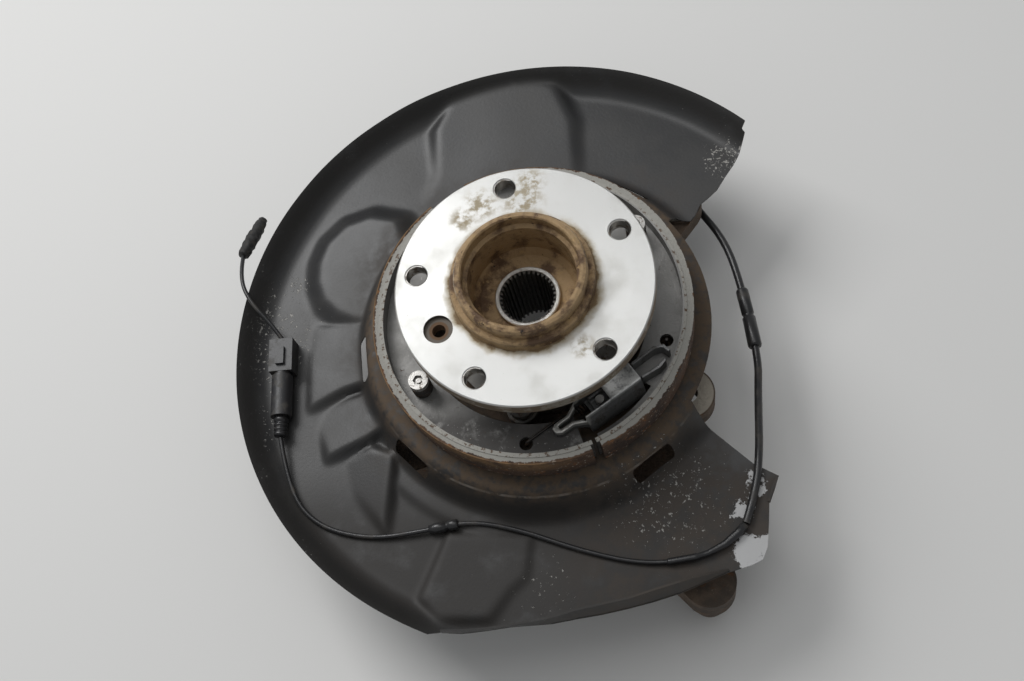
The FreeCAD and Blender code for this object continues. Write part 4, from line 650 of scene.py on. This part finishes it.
# Everything cut out of the sheet: the open side, four windows, and the holes for the three
# shield screws, the two hold-down pins and the adjuster's saddle. Cutters run anticlockwise.
GAP_RADIUS = 100.7
cut_outline = ([(-110, -300), (-90, -200), (-74, -176), (-66, -174.4)]
               + [(x, y - 0.2) for x, y in WALL_FOOT] + FOOT_EDGE
               + [on_circle(GAP_RADIUS, angle) for angle in range(-31, 41, 3)]
               + TIP_EDGE + [(180, 200), (300, 180), (300, -300)])
holes = [cut_outline[::-1]]
WINDOW_CIRCLE, WINDOW_LENGTH, WINDOW_WIDTH = 106, 27, 5.8
holes += [slot_outline(angle, WINDOW_CIRCLE, WINDOW_LENGTH, WINDOW_WIDTH)
          for angle in (-173.5, -134.5, -53, 58)]
SCREW_CIRCLE, SCREW_RADIUS = 78, 3.15
holes += [round_outline(*on_circle(SCREW_CIRCLE, angle), SCREW_RADIUS) for angle in (-120, 0, 85)]
PIN_CIRCLE, PIN_RADIUS = 76, 1.65
holes += [round_outline(*on_circle(PIN_CIRCLE, angle), PIN_RADIUS) for angle in (37, -146)]
saddle_turn = math.radians(120)
holes.append([(u * math.cos(saddle_turn) - w * math.sin(saddle_turn),
               u * math.sin(saddle_turn) + w * math.cos(saddle_turn))
              for u, w in ((71.3, 2.2), (79.9, 2.2), (79.9, 12.8), (71.3, 12.8))])
cutters = [prism_cutter(outline) for outline in holes]
for cutter in cutters:
    modifier = shield.modifiers.new("cut", "BOOLEAN")
    modifier.operation = "DIFFERENCE"
    modifier.solver = "EXACT"
    modifier.object = cutter
cut_shield = shield.evaluated_get(bpy.context.evaluated_depsgraph_get())
cut_mesh = bpy.data.meshes.new_from_object(cut_shield)
shield.modifiers.clear()
shield.data = cut_mesh
for cutter in cutters:
    bpy.data.objects.remove(cutter)
cut_mesh.materials.clear()
for face in cut_mesh.polygons:
    face.use_smooth = True
cut_mesh.set_sharp_from_angle(angle=math.radians(40))
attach(shield, "carrier")
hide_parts("dust_shield")

# Wall and tab: the shield's own sheet, bent up in the press along its straight lower side and
# at the corner of its foot to stiffen them. One coat of paint covers sheet, wall and tab.
def folded_strip(name, top, foot, thickness=1.1):
    """Sheet between two lines of points in mm, given a thickness on its inner side."""
    count = len(top)
    places, faces = [], []
    for inner in (0, 1):
        for line in (top, foot):
            for number, place in enumerate(line):
                along = Vector(line[min(number + 1, count - 1)]) - Vector(line[max(number - 1, 0)])
                inward = Vector((-along.y, along.x, 0)).normalized()
                places.append((Vector(place) + inward * thickness * inner) / 1000)
    for number in range(count - 1):
        a, b = number, number + 1
        faces += [[a, b, b + count, a + count],
                  [a + 2 * count, a + 3 * count, b + 3 * count, b + 2 * count],
                  [a, a + 2 * count, b + 2 * count, b],
                  [a + count, b + count, b + 3 * count, a + 3 * count]]
    faces += [[0, count, 3 * count, 2 * count],
              [count - 1, 3 * count - 1, 4 * count - 1, 2 * count - 1]]
    mesh = bpy.data.meshes.new(name)
    mesh.from_pydata(places, [], faces)
    obj = bpy.data.objects.new(name, mesh)
    bpy.context.scene.collection.objects.link(obj)
    return obj


wall = folded_strip("shield_wall", WALL_TOP, [(x, y, FLOOR - SHEET) for x, y in WALL_FOOT])
tab = folded_strip("shield_tab",
                   [(125.5, -106, -77), (128.6, -98, -75.5), (131.6, -91.6, -77)],
                   [(126.0, -106.5, -78.2), (129.4, -98.3, -78.2), (131.9, -91.4, -78.2)])
for piece in (wall, tab):
    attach(piece, "carrier")

shield_paint = Finish("shield_paint", (0.024, 0.024, 0.0245), 0.4, 0.0)
radius = shield_paint.distance(0, 0)
shield_paint.blotches((0.05,), 0.42, 0.66, (0.031, 0.03, 0.029), 0.45)
dust_reach = shield_paint.wander(radius, shield_paint.mottle(0.04, 7), 0.07)
dust = shield_paint.both(
    shield_paint.between(dust_reach, 0.17, 0.12),
    shield_paint.between(shield_paint.mottle(0.009, 7, 0.65), 0.25, 0.65))
shield_paint.coat(dust, (0.04, 0.03, 0.022), 0.7)
# Painted shade: the paint is darker over the lower side of the shield, broken up by a mottle.
low = shield_paint.both(shield_paint.between(shield_paint.axis("Y"), -0.07, -0.115),
                        shield_paint.between(shield_paint.mottle(0.02, 7), 0.15, 0.5))
shield_paint.coat(low, (0.02, 0.0175, 0.0155), 0.62)
foot = shield_paint.both(shield_paint.between(shield_paint.axis("X"), -0.01, 0.05),
                         shield_paint.between(shield_paint.axis("Y"), -0.05, -0.1),
                         shield_paint.between(shield_paint.mottle(0.014, 8, 0.65), 0.35, 0.6))
shield_paint.coat(foot, (0.046, 0.037, 0.03), 0.75)
# Painted highlight: a thin light line along the skirt's bend near the hub, on its lower side only,
# broken up by a mottle.
from_arc = shield_paint.calc("ABSOLUTE", shield_paint.calc("SUBTRACT", radius, 0.1032))
painted_highlight_arc = shield_paint.both(
    shield_paint.between(from_arc, 0.0007, 0.0002),
    shield_paint.between(shield_paint.axis("Y"), -0.05, -0.08),
    shield_paint.between(shield_paint.mottle(0.01, 7), 0.4, 0.55))
shield_paint.coat(painted_highlight_arc, (0.16, 0.14, 0.12), 0.6)
collar_band = shield_paint.both(shield_paint.between(radius, 0.108, 0.1),
                                shield_paint.between(shield_paint.mottle(0.006, 8), 0.35, 0.6))
shield_paint.coat(collar_band, (0.085, 0.058, 0.036), 0.8)
# Where stones chipped the paint: place, outer and inner reach, and how many chips
CHIPPED = ((0.072, -0.103, 0.06, 0.012, 1.05), (-0.18, 0.01, 0.07, 0.012, 1.15),
           (-0.153, 0.045, 0.014, 0.002, 1.4), (-0.172, -0.05, 0.03, 0.01, 0.9),
           (0.0, -0.15, 0.03, 0.01, 0.8), (0.116, 0.113, 0.024, 0.008, 1.35))
chip_zone = shield_paint.either(
    shield_paint.both(shield_paint.between(radius, 0.171, 0.184), 0.75),
    *[shield_paint.both(shield_paint.between(shield_paint.distance(x, y), outer, inner), share)
      for x, y, outer, inner, share in CHIPPED])
chips = shield_paint.between(
    shield_paint.wander(shield_paint.mottle(0.0022, 4, 0.7), chip_zone, 0.13), 0.735, 0.76)
shield_paint.coat(chips, (0.3, 0.29, 0.27), 0.6)
# Painted shade: the paint is darkened in a band round the rim's slope, broken up by a mottle.
painted_shade_rim = shield_paint.both(shield_paint.between(radius, 0.1735, 0.179),
                              shield_paint.between(shield_paint.mottle(0.02), 0.2, 0.5))
shield_paint.coat(painted_shade_rim, (0.013, 0.012, 0.011), 0.6)
# Patches rubbed down to grey metal: place and reach; the pattern's mean shift is 15 mm
WORN = ((0.1165, -0.135, 0.0115), (0.112, -0.1105, 0.0055), (0.1175, -0.0925, 0.004),
        (0.121, -0.099, 0.003), (0.1265, 0.112, 0.0035), (0.124, -0.128, 0.006))
worn = shield_paint.either(*[
    shield_paint.between(shield_paint.wander(shield_paint.distance(x, y),
                                             shield_paint.mottle(0.01, 8, 0.75), 0.03),
                         reach + 0.0153, reach + 0.0147) for x, y, reach in WORN])
shield_paint.coat(worn, (0.4, 0.4, 0.4), 0.5, 0.4)
shield_paint.relief(shield_paint.mottle(0.0018, 6), 0.00008)
shield_paint.relief(shield_paint.calc("ADD", chips, worn), -0.0001)
shield_paint.on(shield, wall, tab)

# Brake shoes: the two half-moon shoes of the parking brake, each a pressed steel web welded to
# a rolled table. Plated zinc grey, darker towards the lower side, with rust on the tables.
shoe_grey = Finish("shoe_grey", (0.25, 0.245, 0.235), 0.46, 0.4)
shoe_grey.blotches((0.03, 7), 0.4, 0.7, (0.19, 0.185, 0.175), 0.55, 0.3)
# The shoes are darker towards their lower side, broken up by a mottle.
darker_low_side = shoe_grey.both(shoe_grey.between(shoe_grey.axis("Y"), -0.052, -0.066),
                       shoe_grey.between(shoe_grey.mottle(0.008, 8, 0.65), 0.28, 0.5))
shoe_grey.coat(darker_low_side, (0.085, 0.08, 0.076), 0.65, 0.15)
shoe_grey.blotches((0.004, 8, 0.7), 0.62, 0.7, (0.1, 0.07, 0.05), 0.8, 0.1)
shoe_grey.blotches((0.0016, 4), 0.66, 0.7, (0.36, 0.35, 0.33), 0.5, 0.3)
table_band = shoe_grey.both(shoe_grey.between(shoe_grey.distance(0, 0), 0.0855, 0.086),
                            shoe_grey.between(shoe_grey.axis("Z"), -0.034, -0.0334))
shoe_grey.coat(table_band, (0.34, 0.33, 0.3), 0.7, 0.1)
shoe_grey.blotches((0.003, 8, 0.7), 0.52, 0.6, (0.11, 0.07, 0.045), 0.85, 0.1, within=table_band)
shoe_grey.relief(shoe_grey.mottle(0.002, 7), 0.0003)
shoe_grey.on(nodes["brake_shoe_left"], nodes["brake_shoe_right"])

# Brake linings: a moulded strip of friction material, bonded round the table of each shoe.
# Its upper edge flakes, and rust from the table has stained its outer face.
lining_rust = Finish("lining_rust", (0.095, 0.055, 0.034), 0.9)
lining_rust.blotches((0.02, 8), 0.42, 0.6, (0.045, 0.028, 0.02), 0.9)
lining_rust.blotches((0.006, 8, 0.7), 0.55, 0.66, (0.2, 0.09, 0.035), 0.95)
lining_rust.blotches((0.0022, 6), 0.6, 0.66, (0.33, 0.28, 0.22), 0.9)
ragged = lining_rust.wander(lining_rust.distance(0, 0), lining_rust.mottle(0.005, 8, 0.75), 0.005)
flaky = lining_rust.both(lining_rust.between(lining_rust.axis("Z"), -0.0341, -0.0336),
                         lining_rust.between(ragged, 0.0937, 0.0932))
lining_rust.coat(flaky, (0.33, 0.32, 0.29), 0.75)
ochre = lining_rust.both(lining_rust.between(lining_rust.axis("Z"), -0.05, -0.036),
                         lining_rust.between(lining_rust.axis("X"), 0.03, 0.0),
                         lining_rust.between(lining_rust.distance(0, 0), 0.0915, 0.092),
                         lining_rust.between(lining_rust.mottle(0.012, 8, 0.65), 0.35, 0.55))
lining_rust.coat(ochre, (0.21, 0.125, 0.06), 0.9)
lining_rust.relief(lining_rust.mottle(0.003, 8, 0.7), 0.0009)
lining_rust.on(nodes["brake_lining_left"], nodes["brake_lining_right"])

# Hold-down pins and caps: cold-headed steel. A pin comes up through the shield and each web,
# and its cap, with a hexagon socket, locks on it over a small coil spring.
pin_steel = Finish("pin_steel", (0.42, 0.41, 0.39), 0.36, 0.7)
pin_steel.blotches((0.003,), 0.54, 0.64, (0.2, 0.17, 0.14), 0.6, 0.3)
pin_steel.relief(pin_steel.mottle(0.001), 0.0001)
pin_steel.on(nodes["hold_down_pins"], nodes["hold_down_caps"], nodes["expander_pin"])


# Coil springs: drawn steel wire, wound and left black. Two long ones hook into both webs and
# pull the shoes together, and two short ones sit under the hold-down caps.
POINTS_PER_TURN = 12


def coil(name, start, end, radius, wire, turns, lead_in=(), lead_out=()):
    """Helix of wire from start to end, with straight ends through the points given."""
    along = (end - start).normalized()
    side = along.orthogonal().normalized()
    other = along.cross(side)
    points = list(lead_in)
    count = int(turns * POINTS_PER_TURN)
    for number in range(count + 1):
        turn = 2 * math.pi * number / POINTS_PER_TURN
        centre = start.lerp(end, number / count)
        points.append(centre + (side * math.cos(turn) + other * math.sin(turn)) * radius)
    points.extend(lead_out)
    return drawn_line(name, points, wire, steps=2, roundness=2)


spring_black = Finish("spring_black", (0.055, 0.05, 0.046), 0.42, 0.7)
spring_black.blotches((0.004,), 0.5, 0.64, (0.1, 0.06, 0.035), 0.8, 0.1)
spring_black.relief(spring_black.mottle(0.001), 0.0001)

# Return springs: height of their wire, top of the plain hooks, and half the wound length
RETURN_HEIGHT, HOOK_TOP, OVER_WEB, HALF_COIL = -0.0506, -0.0414, -0.0419, 0.0152
COIL_RADIUS, WIRE_RADIUS, COIL_TURNS = 0.00262, 0.00085, 17
for node, left, right in (("return_spring_lower", (-0.00473, -0.07736), (0.07468, -0.02071)),
                          ("return_spring_upper", (-0.05775, 0.04044), (-0.00614, 0.07023))):
    left = Vector((*left, RETURN_HEIGHT))
    right = Vector((*right, RETURN_HEIGHT))
    along = (right - left).normalized()
    middle = (left + right) / 2
    start = middle - along * HALF_COIL
    end = middle + along * HALF_COIL
    rise = Vector((0, 0, HOOK_TOP - RETURN_HEIGHT))
    if node == "return_spring_lower":
        over = Vector((0, 0, OVER_WEB - RETURN_HEIGHT))
        hook = [left + rise * 0.35, left + over * 0.8, left + over + along * 0.0008,
                left + over + along * 0.004, left + over + along * 0.022,
                left + over * 0.9 + along * 0.0255, left + over * 0.1 + along * 0.0285,
                start - along * 0.001]
    else:
        hook = [left + rise, left + rise * 0.3, left, left + along * 0.003, start - along * 0.004,
                start - along * 0.001]
    far_hook = [end + along * 0.001, end + along * 0.004, right - along * 0.003, right,
                right + rise * 0.3, right + rise]
    spring = coil("coil_" + node, start, end, COIL_RADIUS, WIRE_RADIUS, COIL_TURNS, hook, far_hook)
    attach(spring, "carrier")
    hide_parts(node)
    spring_black.on(spring)

# Hold-down springs: where their pins stand, and the web and cap that they press on
HOLD_DOWNS = ((0.0607, 0.04574), (-0.06301, -0.0425))
ON_WEB, UNDER_CAP = -0.0421, -0.0316
HOLD_DOWN_RADIUS, HOLD_DOWN_WIRE, HOLD_DOWN_TURNS = 0.0054, 0.0007, 5
for number, (x, y) in enumerate(HOLD_DOWNS):
    spring = coil(f"hold_down_coil_{number}", Vector((x, y, ON_WEB)), Vector((x, y, UNDER_CAP)),
                  HOLD_DOWN_RADIUS, HOLD_DOWN_WIRE, HOLD_DOWN_TURNS)
    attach(spring, "carrier")
    if number == 0:
        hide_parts("hold_down_springs")
    spring_black.on(spring)

# Expander: channel pressed from sheet with a forked claw, and a two-bladed lever between its
# cheeks, both with edges rounded by the press and rubbed bright on top.
EXPANDER_MIDDLE, EXPANDER_TURN = (0.0129, -0.072), 34.5


def rounded_pressing(name, node, size=0.00045, rounds=4, flare=0.0):
    """Copy of a CAD node's mesh with every edge rounded off; flare spreads its near cheek."""
    mesh = nodes[node].data.copy()
    obj = bpy.data.objects.new(name, mesh)
    bpy.context.scene.collection.objects.link(obj)
    remesh = obj.modifiers.new("remesh", "REMESH")
    remesh.mode = "VOXEL"
    remesh.voxel_size = size
    smooth = obj.modifiers.new("smooth", "SMOOTH")
    smooth.factor = 0.5
    smooth.iterations = rounds
    made = bpy.data.meshes.new_from_object(obj.evaluated_get(bpy.context.evaluated_depsgraph_get()))
    obj.modifiers.clear()
    obj.data = made
    turn = math.radians(EXPANDER_TURN)
    across = Vector((-math.sin(turn), math.cos(turn), 0))
    for vertex in made.vertices:
        side = (vertex.co - Vector((*EXPANDER_MIDDLE, 0))).dot(across)
        vertex.co += across * min(side + 0.004, 0) * flare * ease(vertex.co.z, -0.034, -0.044)
    for face in made.polygons:
        face.use_smooth = True
    return obj


channel = rounded_pressing("expander_pressing", "expander_channel", flare=0.45)
lever = rounded_pressing("expander_blades", "expander_lever")
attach(channel, "shoe_left")
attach(lever, "lever")
for piece, node in ((channel, "expander_channel"), (lever, "expander_lever")):
    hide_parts(node)
expander_dark = Finish("expander_steel", (0.22, 0.22, 0.218), 0.42, 0.7)
expander_dark.blotches((0.007,), 0.5, 0.68, (0.09, 0.083, 0.075), 0.6, 0.4)
crown = expander_dark.both(
    expander_dark.between(expander_dark.axis("Z"), -0.0338, -0.0322),
    expander_dark.between(expander_dark.mottle(0.003, 6, 0.65), 0.3, 0.55))
expander_dark.coat(crown, (0.52, 0.52, 0.505), 0.36, 0.7)
claw_edge = expander_dark.both(
    expander_dark.between(expander_dark.axis("Z"), -0.0392, -0.0384),
    expander_dark.between(expander_dark.distance(*EXPANDER_MIDDLE), 0.02, 0.018))
expander_dark.coat(claw_edge, (0.5, 0.49, 0.46), 0.38, 0.65)
expander_dark.blotches((0.0016,), 0.64, 0.7, (0.3, 0.29, 0.27), 0.45, 0.7)
expander_dark.relief(expander_dark.mottle(0.0014), 0.0002)
expander_dark.on(channel, lever)

# Wheel-speed sensor: moulded black nylon body with one ear, screwed to the back of the carrier.
# The plug and the mating socket on the shield are moulded from the same nylon.
nylon_black = Finish("nylon_black", (0.024, 0.024, 0.026), 0.4)
nylon_black.blotches((0.008,), 0.48, 0.7, (0.06, 0.055, 0.048), 0.65)
nylon_black.blotches((0.0014,), 0.68, 0.72, (0.16, 0.15, 0.14), 0.7)
nylon_black.relief(nylon_black.mottle(0.0009), 0.00005)
nylon_black.on(nodes["wheel_speed_sensor"], nodes["sensor_plug"], nodes["plug_socket"])

# Plug boot: moulded rubber seal with three ribs, pushed over the foot lead where it enters the
# plug.
boot_start = Vector((-0.156, -0.0566, -0.0713))
boot_turn = math.radians(92.5)
boot_way = Vector((math.cos(boot_turn), math.sin(boot_turn), 0))
boot_rings = [(0.0, 0.0016), (0.0002, 0.0036), (0.001, 0.0041)]
for rib in range(3):
    foot = 0.0012 + rib * 0.0026
    boot_rings += [(foot, 0.0041), (foot + 0.0012, 0.0042), (foot + 0.0015, 0.0035),
                   (foot + 0.0023, 0.0035)]
boot_rings += [(0.0092, 0.0043), (0.0124, 0.0043), (0.0125, 0.002)]
boot = sleeve_on("ribbed_boot", [boot_start, boot_start + boot_way * 0.0126], boot_rings, 32)
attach(boot, "carrier")
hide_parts("plug_boot")
lead_rubber.on(boot)

# Floor and lamps: a plain pale bench under two broad soft lamps in a dim room, set so that
# colours show about as they are written.
floor_height = cad_box[0][2]
FLOOR_HALF = 4
floor_mesh = bpy.data.meshes.new("floor")
floor_mesh.from_pydata([(x * FLOOR_HALF, y * FLOOR_HALF, floor_height)
                        for x, y in ((-1, -1), (1, -1), (1, 1), (-1, 1))], [], [(0, 1, 2, 3)])
floor = bpy.data.objects.new("floor", floor_mesh)
bpy.context.scene.collection.objects.link(floor)
Finish("pale_bench", (0.72, 0.715, 0.7), 0.8).on(floor)

world = bpy.data.worlds.new("room")
world.use_nodes = True
world.node_tree.nodes["Background"].inputs["Color"].default_value = (0.86, 0.88, 0.9, 1)
world.node_tree.nodes["Background"].inputs["Strength"].default_value = 0.36
bpy.context.scene.world = world
LOOK_AT = Vector((0, 0, -0.06))
for name, place, size, power in (("window", (-0.85, 0.8, 1.25), 0.9, 18),
                                 ("ceiling", (0.0, 0.3, 1.9), 1.0, 5)):
    lamp = bpy.data.lights.new(name, "AREA")
    lamp.size = size
    lamp.energy = power
    holder = bpy.data.objects.new(name, lamp)
    holder.location = place
    holder.rotation_euler = (LOOK_AT - Vector(place)).to_track_quat("-Z", "Y").to_euler()
    bpy.context.scene.collection.objects.link(holder)
bpy.context.scene.view_settings.view_transform = "Standard"
